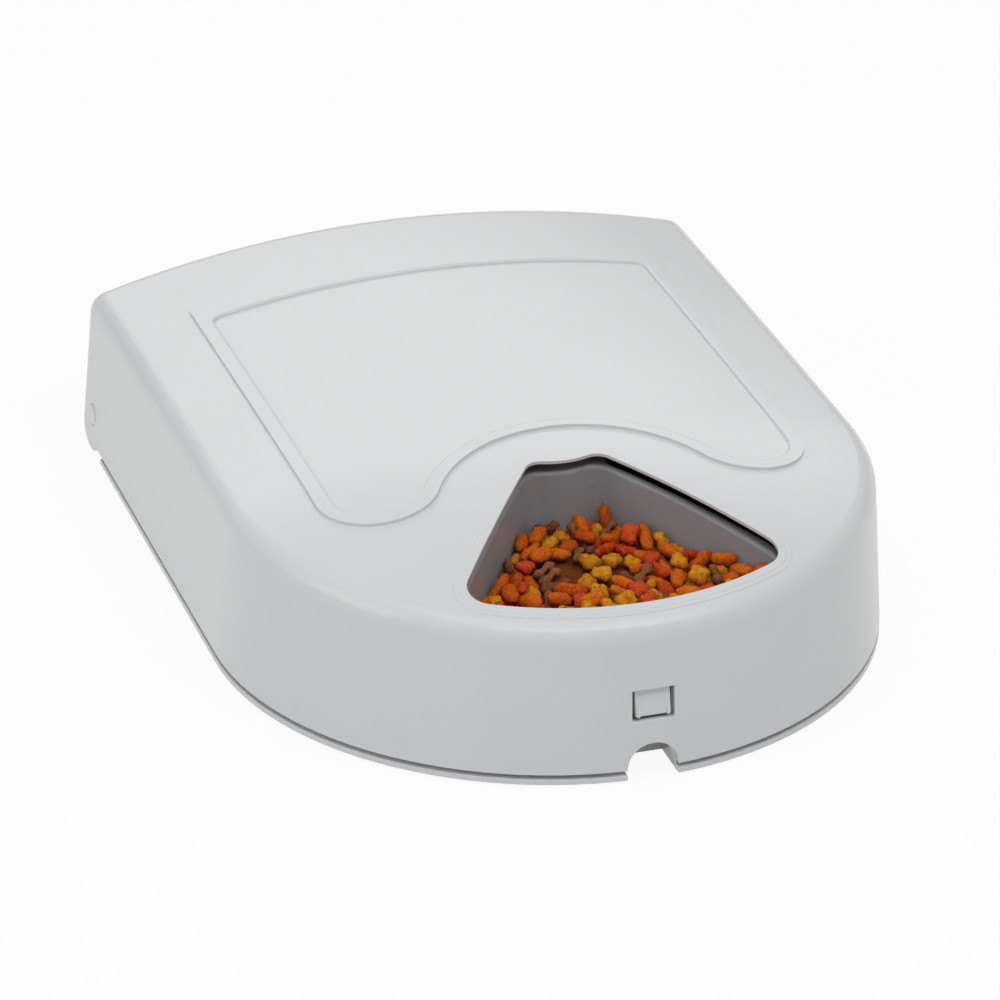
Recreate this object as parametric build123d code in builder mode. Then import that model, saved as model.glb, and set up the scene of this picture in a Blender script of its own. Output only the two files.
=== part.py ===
from build123d import *
import os
from math import asin, atan2, cos, degrees, hypot, pi, radians, sin, sqrt, tan

# Five-meal automatic pet feeder, in millimetres.
# +Z is up and the front faces -Y. The origin is on the floor, under the middle of the footprint.
# The food tray turns about a vertical axis at y = TRAY_Y, and most sizes are given from that axis.

# Overall form
HALF_WIDTH = 150.0          # half the width, and the radius of the round front
REAR = 246.0                # tray axis to the middle of the rear edge
REAR_BOW = 1180.0           # radius of the slightly bowed rear edge
EDGE_R = 10.0               # rounding of the lid's upper edges and rear corners
DRAFT = 3.7                 # lean of the outer walls, in degrees
CROWN_TOP = 94.1            # height of the lid's highest point
CROWN_SIDE_R = 625.0        # curvature of the crown from side to side
CROWN_FRONT_R = 500.0       # curvature of the crown towards the front
CROWN_REAR_R = 9000.0       # curvature of the crown towards the rear

# Heights of the stack
FOOT_PROUD = 1.2            # feet below the base
FLANGE_T = 2.6              # thickness of the base's flange
SHADOW_GAP = 2.3            # gap between the flange and the lid's lower edge
DECK_RISE = 13.8            # how much the base tub is taller than a cell is thick
WELL_FLOOR_Z = 27.0         # top of the tray well's floor

# Walls and clearances
EDGE_SOFT = 0.4             # rounding of the small outer edges
LID_T = 2.6
BASE_T = 2.4
COVER_T = 2.2
RAISED_FROM = 60.0          # height from which the lid's raised forms are drawn up
LID_TO_BASE = 1.5           # gap between the lid's inside and the base tub
FIT_GAP = 0.3               # gap between neighbouring pieces
RUN_GAP = 0.05              # radial clearance of pins and shafts
PRESS_GAP = 0.02            # radial clearance of pins and shafts pressed in place
SEAT_GAP = 0.1              # gap under seated heads

# Window over the open compartment
WINDOW_HALF_ANGLE = 35.2
WINDOW_APEX = 4.9           # the window's sides meet this far ahead of the tray axis
WINDOW_INNER_R = 31.0
WINDOW_OUTER_R = 132.8
WINDOW_OUTER_CORNER = 12.0
WINDOW_INNER_CORNER = 7.0
LIP_W = 3.6                 # raised lip round the window
LIP_H = 0.45
LIP_T = 1.4                 # thickness of the lip at the window's edge
LIP_REACH = 3.0             # how far the lip stands over the rebate below it
LIP_ROUND = 0.35
APRON_W = 5.8               # lower step outside the lip
APRON_H = 0.25
APRON_ROUND = 0.18

# Raised bead on the lid
BEAD_W = 7.0
BEAD_REAR_W = 19.5
BEAD_H = 1.4
BEAD_ROUND = 1.25           # rounding of the bead's upper edges
BEAD_SIDE = 111.0           # tray axis to the bead's outer side
BEAD_REAR = REAR - 55.0
BEAD_CORNER = 9.0
LOBE_R = 27.3               # rounded front lobes of the bead
LOBE_Y = -23.7
SADDLE_R = 68.0             # arc of the bead behind the window

# Hinge
PIN_BACK = REAR - 31.1      # tray axis to the hinge axis
PIN_Z = 19.2
PIN_R = 3.0
PIN_HEAD_R = 5.2
PIN_DEPTH = 16.0
PIN_PROUD = 0.4             # pin head beyond the lid's side
EAR_R = 17.0                # rounded hinge ear at each rear corner of the lid
EAR_FRONT = PIN_BACK - 16.1 # the flange stops here to make room for the ear
LID_REAR_Z = 50.0           # lower edge of the lid's rear wall
EAR_GAP = 0.6               # gap between the lid's ears and the widest part of the base behind them
EAR_REAR_Z = 24.0

# Front latch and finger recess
LATCH_HALF = 9.4
LATCH_LOW = 28.5
LATCH_HIGH = 42.7
HOOK_HALF = 7.8
HOOK_GAP = 1.9              # latch window's sill to the hook's ledge
LATCH_PIVOT = HALF_WIDTH - 8.2   # tray axis to the latch's pivot
LATCH_PIVOT_Z = 45.5
LATCH_PIN_R = 0.8
LATCH_STUB = 1.6            # reach of the pivot stubs into the base
NOTCH_R = 11.45
POCKET_DEPTH = 22.0
POCKET_T = 2.0

# Tray
TRAY_R = 138.0
TRAY_BOTTOM_R = TRAY_R - 7.0
TRAY_FLOOR_T = 2.0
TRAY_CROWN_Z = 87.6         # height of the tray's crown, if it had no hub recess
TRAY_CROWN_R = 500.0
TRAY_GLIDE = 1.5            # gap between the well floor and the tray's floor
WELL_GAP = 2.0              # gap round the tray
MEALS = 5
POCKET_WALL = 5.2           # wall between two compartments at the rim
POCKET_OUTER_R = TRAY_R - 4.5
POCKET_INNER_R = 29.5
POCKET_DRAFT = 5.0
POCKET_CORNER = 13.0
RIM_R = 1.9                 # rounding of the compartment rims
POCKET_FLOOR_R = 5.0

# Drive train
GEAR_GAP = 0.06             # extra distance between gear centres
SPINDLE_R = 4.0
DRIVE_HEAD_R = 9.0
DRIVE_HEAD_Z = 40.0
SOCKET_GAP = 0.25

# Batteries
CELL_R = 17.1
CELL_LEN = 61.5
CELL_GAP = 1.2
CELLS = 4
BAY_T = 1.8

# Control console
CONSOLE_HALF = 66.0
CONSOLE_REAR = REAR - 22.0
CONSOLE_FRONT = CONSOLE_REAR - 64.0
CONSOLE_RISE = 14.0         # top of the console above the deck
CONSOLE_T = 2.0
CONSOLE_DEPTH = CONSOLE_REAR - CONSOLE_FRONT
CONSOLE_PEGS = [(x * (CONSOLE_HALF - 6), y) for x in (-1, 1) for y in (CONSOLE_FRONT + 6, CONSOLE_REAR - 6)]
PANEL_SCREW_R = 1.2
BOARD_HALF = 55.0
BOARD_FRONT = CONSOLE_FRONT + 5.0
BOARD_REAR = CONSOLE_REAR - 5.0
BOARD_RISE = 3.0            # underside of the board above the deck
BOARD_T = 1.6
BOARD_SCREW_R = 1.0
BOARD_POSTS = [(x * 50.0, y) for x in (-1, 1) for y in (BOARD_FRONT + 5, BOARD_REAR - 5)]
BUTTONS = 5
BUTTON_PITCH = 20.0
BUTTON_R = 6.0
BUTTON_Y = CONSOLE_FRONT + 15.0
BUTTON_PROUD = 1.6
BUTTON_TRAVEL = 0.5
LCD_W = 60.0
LCD_D = 24.0
LCD_Y = CONSOLE_FRONT + 43.0
LENS_W = 56.0
LENS_D = 20.0

# Gearbox, with its axles placed from the tray axis
GEARBOX_Z = 4.2
GEARBOX_PLATE_T = 1.6
GEARBOX_POSTS = [(-22.0, -22.0), (-22.0, 22.0), (48.0, -14.0), (56.0, 42.0)]
GEARBOX_SCREW_R = 1.2
GEARBOX_SCREW_TOP = 26.2
AXLE_R = 1.5
OUTPUT_TEETH = 48
SECOND_PINION_TEETH = 12
SECOND_TEETH = 40
FIRST_PINION_TEETH = 10
FIRST_TEETH = 50
MOTOR_TEETH = 10
OUTPUT_MODULE = 0.9
SECOND_MODULE = 0.7
FIRST_MODULE = 0.6
TRAIN_ANGLE = 75.0
MOTOR_R = 12.2

# Gear teeth, in modules and in shares of the tooth spacing
ADDENDUM = 0.85
DEDENDUM = 1.2
ROOT_SHARE = 0.34
PITCH_SHARE = 0.225
TIP_SHARE = 0.11

# Places worked out from the sizes above
FRONT = HALF_WIDTH
TRAY_Y = -(REAR - FRONT) / 2
FLANGE_TOP = FOOT_PROUD + FLANGE_T
LID_Z = FLANGE_TOP + SHADOW_GAP
LEAN = tan(radians(DRAFT))
CELL_PITCH = 2 * CELL_R + CELL_GAP
DECK_Z = 2 * CELL_R + DECK_RISE
CONSOLE_Z = DECK_Z + CONSOLE_RISE
BOARD_Z = DECK_Z + BOARD_RISE
BASE_INSET = LID_T + LID_TO_BASE
WELL_R = TRAY_R + WELL_GAP
TRAY_Z = WELL_FLOOR_Z + TRAY_GLIDE
COVER_Z = FOOT_PROUD + 0.2
COVER_TOP = COVER_Z + COVER_T
COVER_INSET = BASE_INSET + BASE_T + FIT_GAP
UNDER_WELL = WELL_FLOOR_Z - BASE_T
UNDER_DECK = DECK_Z - BASE_T

os.makedirs("parts", exist_ok=True)


# Work planes
def level(height):
    """A flat plane at the given height, centred on the tray axis."""
    return Plane(origin=(0, TRAY_Y, height))


def facing(back):
    """An upright plane facing the front, set back from the tray axis; its local Y is up."""
    return Plane(origin=(0, TRAY_Y + back, 0), x_dir=(1, 0, 0), z_dir=(0, -1, 0))


def side(x):
    """An upright plane facing +X; its local X runs to the rear from the tray axis, its local Y up."""
    return Plane(origin=(x, TRAY_Y, 0), x_dir=(0, 1, 0), z_dir=(1, 0, 0))


def at(x, back, height):
    """A point given from the tray axis."""
    return (x, TRAY_Y + back, height)


def wall_radius(height):
    """Radius of the lid's outer front wall at a height."""
    return HALF_WIDTH - (height - LID_Z) * LEAN


# Shared forms
def footprint(inset, corner=0.0):
    """The outline seen from above, set in by inset, with rounded rear corners."""
    half = HALF_WIDTH - inset
    back = REAR - inset
    bow = REAR_BOW - inset
    side_end = back - (bow - sqrt(bow**2 - half**2))
    with BuildSketch() as shape:
        with BuildLine():
            ThreePointArc((-half, 0), (0, -half), (half, 0))
            Line((half, 0), (half, side_end))
            ThreePointArc((half, side_end), (0, back), (-half, side_end))
            Line((-half, side_end), (-half, 0))
        make_face()
        if corner > 0:
            fillet(shape.vertices().group_by(Axis.Y)[-1], corner)
    return shape.sketch


def upright_rear_edges(form, low, high):
    """The two corner edges at the rear whose middle lies between two heights."""
    return form.edges().filter_by(lambda e: abs(e.center().X) > 0.85 * HALF_WIDTH
                                  and e.center().Y > TRAY_Y + 0.9 * REAR
                                  and low < e.center().Z < high)


def leaning_block(inset, low, high, corner):
    """A solid on the outline whose walls lean inwards, with rounded rear corners."""
    start = inset - (LID_Z - low) * LEAN
    with BuildPart() as block:
        with BuildSketch(level(low)):
            add(footprint(start))
        extrude(amount=high - low, taper=DRAFT)
        rear_corners = upright_rear_edges(block, low + 1, high - 1)
        fillet(rear_corners, corner)
    return block.part


def crown_profile(top, low):
    """Cross-section under the crown, in a plane facing the front."""
    half = HALF_WIDTH + 20
    radius = CROWN_SIDE_R - (CROWN_TOP - top)
    shoulder = top - (radius - sqrt(radius**2 - half**2))
    with BuildSketch() as shape:
        with BuildLine():
            ThreePointArc((-half, shoulder), (0, top), (half, shoulder))
            Line((half, shoulder), (half, low))
            Line((half, low), (-half, low))
            Line((-half, low), (-half, shoulder))
        make_face()
    return shape.sketch


def crown(drop):
    """Everything under the lid's crowned top surface, lowered by drop."""
    top = CROWN_TOP - drop
    front_axis = Axis((0, TRAY_Y, CROWN_TOP - CROWN_FRONT_R), (1, 0, 0))
    rear_axis = Axis((0, TRAY_Y, CROWN_TOP - CROWN_REAR_R), (-1, 0, 0))
    with BuildPart() as body:
        with BuildSketch(facing(0)):
            add(crown_profile(top, -30))
        revolve(axis=front_axis, revolution_arc=24)
        with BuildSketch(facing(0)):
            add(crown_profile(top, -30))
        revolve(axis=rear_axis, revolution_arc=1.8)
    return body.part


def lid_form(inset, corner):
    """The lid's closed outer form, or its inside when set in by the wall thickness."""
    low = PIN_Z - EAR_R
    start = inset - (LID_Z - low) * LEAN
    with BuildPart() as form:
        with BuildSketch(level(low)):
            add(footprint(start))
        extrude(amount=CROWN_TOP + 10 - low, taper=DRAFT)
        add(crown(inset), mode=Mode.INTERSECT)
        rear_corners = upright_rear_edges(form, DECK_Z / 2, LID_REAR_Z + 10)
        rim = form.edges().filter_by(lambda e: e.center().Z > 62
                                     and hypot(e.center().X, e.center().Y - TRAY_Y) > 5)
        fillet(rear_corners + rim, corner)
    return form.part


def window_shape():
    """The window's outline: two straight sides, a round front edge and a round edge at the hub."""
    lean = radians(WINDOW_HALF_ANGLE)

    def on_side(radius):
        along = -WINDOW_APEX * cos(lean) + sqrt((WINDOW_APEX * cos(lean))**2 - WINDOW_APEX**2 + radius**2)
        return (along * sin(lean), -WINDOW_APEX - along * cos(lean))

    outer = on_side(WINDOW_OUTER_R)
    inner = on_side(WINDOW_INNER_R)
    with BuildSketch() as shape:
        with BuildLine():
            ThreePointArc((-outer[0], outer[1]), (0, -WINDOW_OUTER_R), outer)
            Line(outer, inner)
            ThreePointArc(inner, (0, -WINDOW_INNER_R), (-inner[0], inner[1]))
            Line((-inner[0], inner[1]), (-outer[0], outer[1]))
        make_face()
        fillet(shape.vertices().group_by(Axis.Y)[0], WINDOW_OUTER_CORNER)
        fillet(shape.vertices().group_by(Axis.Y)[-1], WINDOW_INNER_CORNER)
    return shape.sketch


def bead_loop(inset, rear_inset):
    """One edge of the bead: straight sides, a bowed rear, two front lobes and a saddle between them."""
    half = BEAD_SIDE - inset
    lobe = LOBE_R - inset
    saddle = SADDLE_R + inset
    lobe_x = BEAD_SIDE - LOBE_R
    saddle_y = LOBE_Y - sqrt((LOBE_R + SADDLE_R)**2 - lobe_x**2)
    touch = LOBE_R + SADDLE_R
    # where lobe and saddle meet
    meet = (lobe_x * (1 - lobe / touch), LOBE_Y + (saddle_y - LOBE_Y) * lobe / touch)
    # lowest point of the lobe
    low = (lobe_x, LOBE_Y - lobe)
    back = BEAD_REAR - rear_inset
    bow = REAR_BOW - (REAR - BEAD_REAR) - rear_inset
    side_end = back - (bow - sqrt(bow**2 - half**2))
    with BuildSketch() as shape:
        with BuildLine():
            ThreePointArc((-meet[0], meet[1]), (0, saddle_y + saddle), meet)
            ThreePointArc(meet, low, (half, LOBE_Y))
            Line((half, LOBE_Y), (half, side_end))
            ThreePointArc((half, side_end), (0, back), (-half, side_end))
            Line((-half, side_end), (-half, LOBE_Y))
            ThreePointArc((-half, LOBE_Y), (-low[0], low[1]), (-meet[0], meet[1]))
        make_face()
        fillet(shape.vertices().group_by(Axis.Y)[-1], max(BEAD_CORNER - inset / 2, 1.0))
    return shape.sketch


def raised(shape, height, rounding=0.0):
    """A block up to the crown's surface moved up by height, with rounded upper edges."""
    with BuildPart() as block:
        with BuildSketch(level(RAISED_FROM)):
            add(shape)
        extrude(amount=CROWN_TOP - RAISED_FROM + 10)
        add(crown(-height), mode=Mode.INTERSECT)
        if rounding > 0:
            fillet(block.faces().sort_by(Axis.Z)[-1].edges(), rounding)
    return block.part


def gear_shape(teeth, module, phase):
    """A spur gear's outline, with one tooth pointing along the phase angle in degrees."""
    pitch = teeth * module / 2
    tip = pitch + ADDENDUM * module
    root = pitch - DEDENDUM * module
    step = 2 * pi / teeth
    corners = []
    for tooth in range(teeth):
        middle = radians(phase) + tooth * step
        for radius, share in ((root, -ROOT_SHARE), (pitch, -PITCH_SHARE), (tip, -TIP_SHARE),
                              (tip, TIP_SHARE), (pitch, PITCH_SHARE), (root, ROOT_SHARE)):
            angle = middle + share * step
            corners.append((radius * cos(angle), radius * sin(angle)))
    with BuildSketch() as shape:
        with BuildLine():
            Polyline(*corners, close=True)
        make_face()
    return shape.sketch


def export(piece, name):
    """Label a finished piece and write it."""
    piece.part.label = name
    export_step(piece.part, f"parts/{name}.step")


def on_front_wall(edge):
    """Whether an edge borders the latch window or the notch on the outside of the front wall."""
    middle = edge.center()
    ahead = hypot(middle.X, middle.Y - TRAY_Y)
    return (abs(middle.X) < NOTCH_R + 1 and LID_Z + 1 < middle.Z < LATCH_HIGH + 1 and middle.Y < TRAY_Y
            and ahead > wall_radius(middle.Z) - 0.5 * LID_T)


# Lid
lid_outside = lid_form(0, EDGE_R)
lid_inside = lid_form(LID_T, EDGE_R - LID_T)
window = window_shape()

with BuildSketch() as bead_band:
    add(bead_loop(0, 0))
    add(bead_loop(BEAD_W, BEAD_REAR_W), mode=Mode.SUBTRACT)

with BuildSketch() as lip_band:
    add(window)
    offset(amount=LIP_W)

with BuildSketch() as apron_band:
    add(window)
    offset(amount=APRON_W)

with BuildSketch() as rebate_area:
    add(window)
    offset(amount=LIP_REACH)

bead = raised(bead_band.sketch, BEAD_H, BEAD_ROUND)
window_lip = raised(lip_band.sketch, LIP_H, LIP_ROUND)
window_apron = raised(apron_band.sketch, APRON_H, APRON_ROUND)
lip_rebate = raised(rebate_area.sketch, LIP_H - LIP_T)

with BuildPart() as lid:
    add(lid_outside)
    add(bead)
    add(window_apron)
    add(window_lip)
    add(lid_inside, mode=Mode.SUBTRACT)
    # rebate that leaves the window a thin lip
    add(lip_rebate, mode=Mode.SUBTRACT)
    # opening over the served compartment
    with BuildSketch(level(CROWN_TOP + 5)):
        add(window)
    extrude(amount=-50, mode=Mode.SUBTRACT)
    # latch window in the front wall
    with BuildSketch(facing(-HALF_WIDTH - 2)):
        with Locations((0, (LATCH_LOW + LATCH_HIGH) / 2)):
            Rectangle(2 * LATCH_HALF, LATCH_HIGH - LATCH_LOW)
    extrude(amount=-16, mode=Mode.SUBTRACT)
    # half-round finger notch in the front edge
    with BuildSketch(facing(-HALF_WIDTH - 2)):
        with Locations((0, LID_Z)):
            Circle(NOTCH_R)
    extrude(amount=-16, mode=Mode.SUBTRACT)
    # softened edges of the latch window and the notch
    fillet(lid.edges().filter_by(on_front_wall), EDGE_SOFT)
    # lower edge, left standing only at the hinge ears
    with BuildSketch(side(-HALF_WIDTH - 5)) as skirt:
        with Locations(((REAR - FRONT) / 2, LID_Z / 2)):
            Rectangle(REAR + FRONT + 20, LID_Z)
        with Locations((PIN_BACK, PIN_Z)):
            Circle(EAR_R, mode=Mode.SUBTRACT)
    extrude(amount=2 * HALF_WIDTH + 10, mode=Mode.SUBTRACT)
    # rounded rear of the hinge ears
    with BuildSketch(side(-HALF_WIDTH - 5)) as heel:
        with Locations((PIN_BACK + 25, EAR_REAR_Z / 2)):
            Rectangle(50, EAR_REAR_Z)
        with Locations((PIN_BACK, PIN_Z)):
            Circle(EAR_R, mode=Mode.SUBTRACT)
    extrude(amount=2 * HALF_WIDTH + 10, mode=Mode.SUBTRACT)
    # rear wall stops above the base's rear wall
    with BuildSketch(facing(REAR + 5)):
        with Locations((0, LID_REAR_Z / 2)):
            Rectangle(2 * (HALF_WIDTH - BASE_INSET + EAR_GAP), LID_REAR_Z)
    extrude(amount=REAR + 5 - PIN_BACK - EAR_R + 6, mode=Mode.SUBTRACT)
    # holes that turn on the hinge pins' heads
    with BuildSketch(side(-HALF_WIDTH - 5)):
        with Locations((PIN_BACK, PIN_Z)):
            Circle(PIN_HEAD_R + RUN_GAP)
    extrude(amount=2 * HALF_WIDTH + 10, mode=Mode.SUBTRACT)
export(lid, "lid")

# Hinge pins: a flush round head in the lid's ear and a shaft in the base
PIN_FACE = wall_radius(PIN_Z) + PIN_PROUD
HEAD_SEAT = wall_radius(PIN_Z - PIN_HEAD_R) - BASE_INSET + SEAT_GAP
for hand, name in ((-1, "hinge_pin_left"), (1, "hinge_pin_right")):
    with BuildPart() as hinge_pin:
        with BuildSketch(side(hand * PIN_FACE)):
            with Locations((PIN_BACK, PIN_Z)):
                Circle(PIN_HEAD_R)
        extrude(amount=-hand * (PIN_FACE - HEAD_SEAT))
        fillet(hinge_pin.edges().sort_by(Axis.X)[0 if hand < 0 else -1], 0.6)
        with BuildSketch(side(hand * HEAD_SEAT)):
            with Locations((PIN_BACK, PIN_Z)):
                Circle(PIN_R)
        extrude(amount=-hand * PIN_DEPTH)
        chamfer(hinge_pin.edges().sort_by(Axis.X)[-1 if hand < 0 else 0], 0.5)
    export(hinge_pin, name)

# Base housing: flange, leaning tub, tray well, rear deck and finger pocket
tub = leaning_block(BASE_INSET, FOOT_PROUD, DECK_Z, 6.0)
tub_inside = leaning_block(BASE_INSET + BASE_T, 0.0, UNDER_DECK, 4.0)

with BuildPart() as under_space:
    add(tub_inside)
    with BuildSketch(level(UNDER_WELL)):
        Circle(WELL_R + BASE_T)
    extrude(amount=60, mode=Mode.SUBTRACT)

BOSS_R = 4.2
BOSS_HOLE_R = 1.3
SCREW_PLACES = ((118, 90), (118, 205), (92, -86), (45, -118))
COVER_SCREWS = [(hand * x, y) for hand in (-1, 1) for x, y in SCREW_PLACES]
WELL_SCREW_FRONT = 142      # screws ahead of this line stand under the well

with BuildPart() as base_housing:
    with BuildSketch(level(FOOT_PROUD)):
        add(footprint(0, EDGE_R))
    extrude(amount=FLANGE_T)
    fillet(base_housing.edges().group_by(Axis.Z)[0] + base_housing.edges().group_by(Axis.Z)[-1], EDGE_SOFT)
    # the flange stops short at the hinge ears
    with BuildSketch(level(0)):
        for hand in (-1, 1):
            with Locations((hand * (HALF_WIDTH + 10), EAR_FRONT + 40)):
                Rectangle(2 * (10 + BASE_INSET - 0.3), 80)
    extrude(amount=FLANGE_TOP + 1, mode=Mode.SUBTRACT)
    add(tub)
    with BuildSketch(level(WELL_FLOOR_Z)):
        Circle(WELL_R)
    extrude(amount=60, mode=Mode.SUBTRACT)
    add(under_space.part, mode=Mode.SUBTRACT)
    # walls of the finger pocket
    with BuildSketch(facing(-FRONT + POCKET_DEPTH + POCKET_T)):
        with Locations((0, (FOOT_PROUD + LID_Z + NOTCH_R + POCKET_T) / 2)):
            Rectangle(2 * (NOTCH_R + POCKET_T), LID_Z + NOTCH_R + POCKET_T - FOOT_PROUD)
    extrude(amount=POCKET_DEPTH - BASE_INSET - 1)
    with BuildSketch(facing(-FRONT + POCKET_DEPTH)):
        with Locations((0, LID_Z)):
            Circle(NOTCH_R)
        with Locations((0, LID_Z / 2)):
            Rectangle(2 * NOTCH_R, LID_Z)
    extrude(amount=POCKET_DEPTH + 5, mode=Mode.SUBTRACT)
    # slot that the latch hangs in
    with BuildSketch(level(WELL_FLOOR_Z + 0.2)):
        with Locations((0, -FRONT + 8)):
            Rectangle(2 * (LATCH_HALF - 0.2), 12)
    extrude(amount=60, mode=Mode.SUBTRACT)
    # holes for the latch's pivot stubs
    with BuildSketch(side(-LATCH_HALF - LATCH_STUB - SEAT_GAP)):
        with Locations((-LATCH_PIVOT, LATCH_PIVOT_Z)):
            Circle(LATCH_PIN_R + RUN_GAP)
    extrude(amount=2 * (LATCH_HALF + LATCH_STUB + SEAT_GAP), mode=Mode.SUBTRACT)
    # rail that carries the turning tray
    with BuildSketch(level(WELL_FLOOR_Z)):
        Circle(96)
        Circle(92, mode=Mode.SUBTRACT)
    extrude(amount=TRAY_GLIDE - FIT_GAP)
    # hole for the drive spindle's bush
    with BuildSketch(level(UNDER_WELL - 1)):
        Circle(SPINDLE_R + 2.5)
    extrude(amount=10, mode=Mode.SUBTRACT)
    # screw bosses for the bottom cover
    with BuildSketch(level(COVER_TOP)):
        with Locations(*[(x, y) for x, y in COVER_SCREWS if hypot(x, y) < WELL_SCREW_FRONT]):
            Circle(BOSS_R)
    extrude(amount=UNDER_WELL - COVER_TOP + 0.5)
    with BuildSketch(level(COVER_TOP)):
        with Locations(*[(x, y) for x, y in COVER_SCREWS if hypot(x, y) >= WELL_SCREW_FRONT]):
            Circle(BOSS_R)
    extrude(amount=UNDER_DECK - COVER_TOP + 0.5)
    with BuildSketch(level(COVER_TOP)):
        with Locations(*COVER_SCREWS):
            Circle(BOSS_HOLE_R)
    extrude(amount=11, mode=Mode.SUBTRACT)
    # bosses that hold the hinge pins
    for hand in (-1, 1):
        with BuildSketch(side(hand * (HEAD_SEAT - SEAT_GAP - BASE_T))):
            with Locations((PIN_BACK, PIN_Z)):
                Circle(PIN_R + 3.5)
        extrude(amount=-hand * (PIN_DEPTH - 1))
    with BuildSketch(side(-HALF_WIDTH)):
        with Locations((PIN_BACK, PIN_Z)):
            Circle(PIN_R + PRESS_GAP)
    extrude(amount=2 * HALF_WIDTH, mode=Mode.SUBTRACT)
    # openings in the deck for the leads
    with BuildSketch(level(UNDER_DECK - 1)):
        with Locations((-34, CONSOLE_FRONT + 8), (34, CONSOLE_FRONT + 8)):
            SlotOverall(26, 6)
    extrude(amount=10, mode=Mode.SUBTRACT)
    # pegs that locate the console
    with BuildSketch(level(DECK_Z)):
        with Locations(*CONSOLE_PEGS):
            Circle(2.6)
            Circle(PANEL_SCREW_R + RUN_GAP, mode=Mode.SUBTRACT)
    extrude(amount=CONSOLE_Z - CONSOLE_T - DECK_Z - FIT_GAP)
    # short posts under the circuit board
    with BuildSketch(level(DECK_Z)):
        with Locations(*BOARD_POSTS):
            Circle(2.5)
            Circle(BOARD_SCREW_R + RUN_GAP, mode=Mode.SUBTRACT)
    extrude(amount=BOARD_Z - DECK_Z)
    # pilot holes over the gearbox
    with BuildSketch(level(UNDER_WELL)):
        with Locations(*GEARBOX_POSTS):
            Circle(GEARBOX_SCREW_R + RUN_GAP)
    extrude(amount=GEARBOX_SCREW_TOP - UNDER_WELL + 0.2, mode=Mode.SUBTRACT)
export(base_housing, "base_housing")

# Tray: five drafted compartments round a hub, crowned to follow the lid
def tray_crown(radius):
    """Height of the tray's crowned top at a distance from its axis."""
    return TRAY_CROWN_Z - (TRAY_CROWN_R - sqrt(TRAY_CROWN_R**2 - radius**2))


RIM_Z = tray_crown(TRAY_R)
POCKET_FLOOR_Z = TRAY_Z + TRAY_FLOOR_T
POCKET_REF_Z = (RIM_Z + TRAY_CROWN_Z) / 2


def compartment_shape(shrink):
    """One compartment seen from above, shrunk all round."""
    half = radians(180 / MEALS)
    offset_in = POCKET_WALL / 2 + shrink

    def on_side(radius):
        along = sqrt(radius**2 - offset_in**2)
        return (along * sin(half) - offset_in * cos(half), -along * cos(half) - offset_in * sin(half))

    outer_r = POCKET_OUTER_R - shrink
    inner_r = POCKET_INNER_R + shrink
    outer = on_side(outer_r)
    inner = on_side(inner_r)
    with BuildSketch() as shape:
        with BuildLine():
            ThreePointArc((-outer[0], outer[1]), (0, -outer_r), outer)
            Line(outer, inner)
            ThreePointArc(inner, (0, -inner_r), (-inner[0], inner[1]))
            Line((-inner[0], inner[1]), (-outer[0], outer[1]))
        make_face()
        fillet(shape.vertices().group_by(Axis.Y)[0], POCKET_CORNER - shrink)
        fillet(shape.vertices().group_by(Axis.Y)[-1], POCKET_CORNER - 4 - shrink)
    return shape.sketch


def compartment_space(shrink, low, high):
    """The drafted hollow of one compartment, about the world's Z axis."""
    narrower = (POCKET_REF_Z - low) * tan(radians(POCKET_DRAFT))
    with BuildPart() as space:
        with BuildSketch(Plane.XY.offset(low)):
            add(compartment_shape(shrink + narrower))
        extrude(amount=high - low, taper=-POCKET_DRAFT)
        fillet(space.edges().group_by(Axis.Z)[0], POCKET_FLOOR_R - shrink)
    return space.part


compartment = compartment_space(0, POCKET_FLOOR_Z, CROWN_TOP)
TRAY_AXIS = Axis((0, TRAY_Y, 0), (0, 0, 1))
GRIP_R = 20.0

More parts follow.
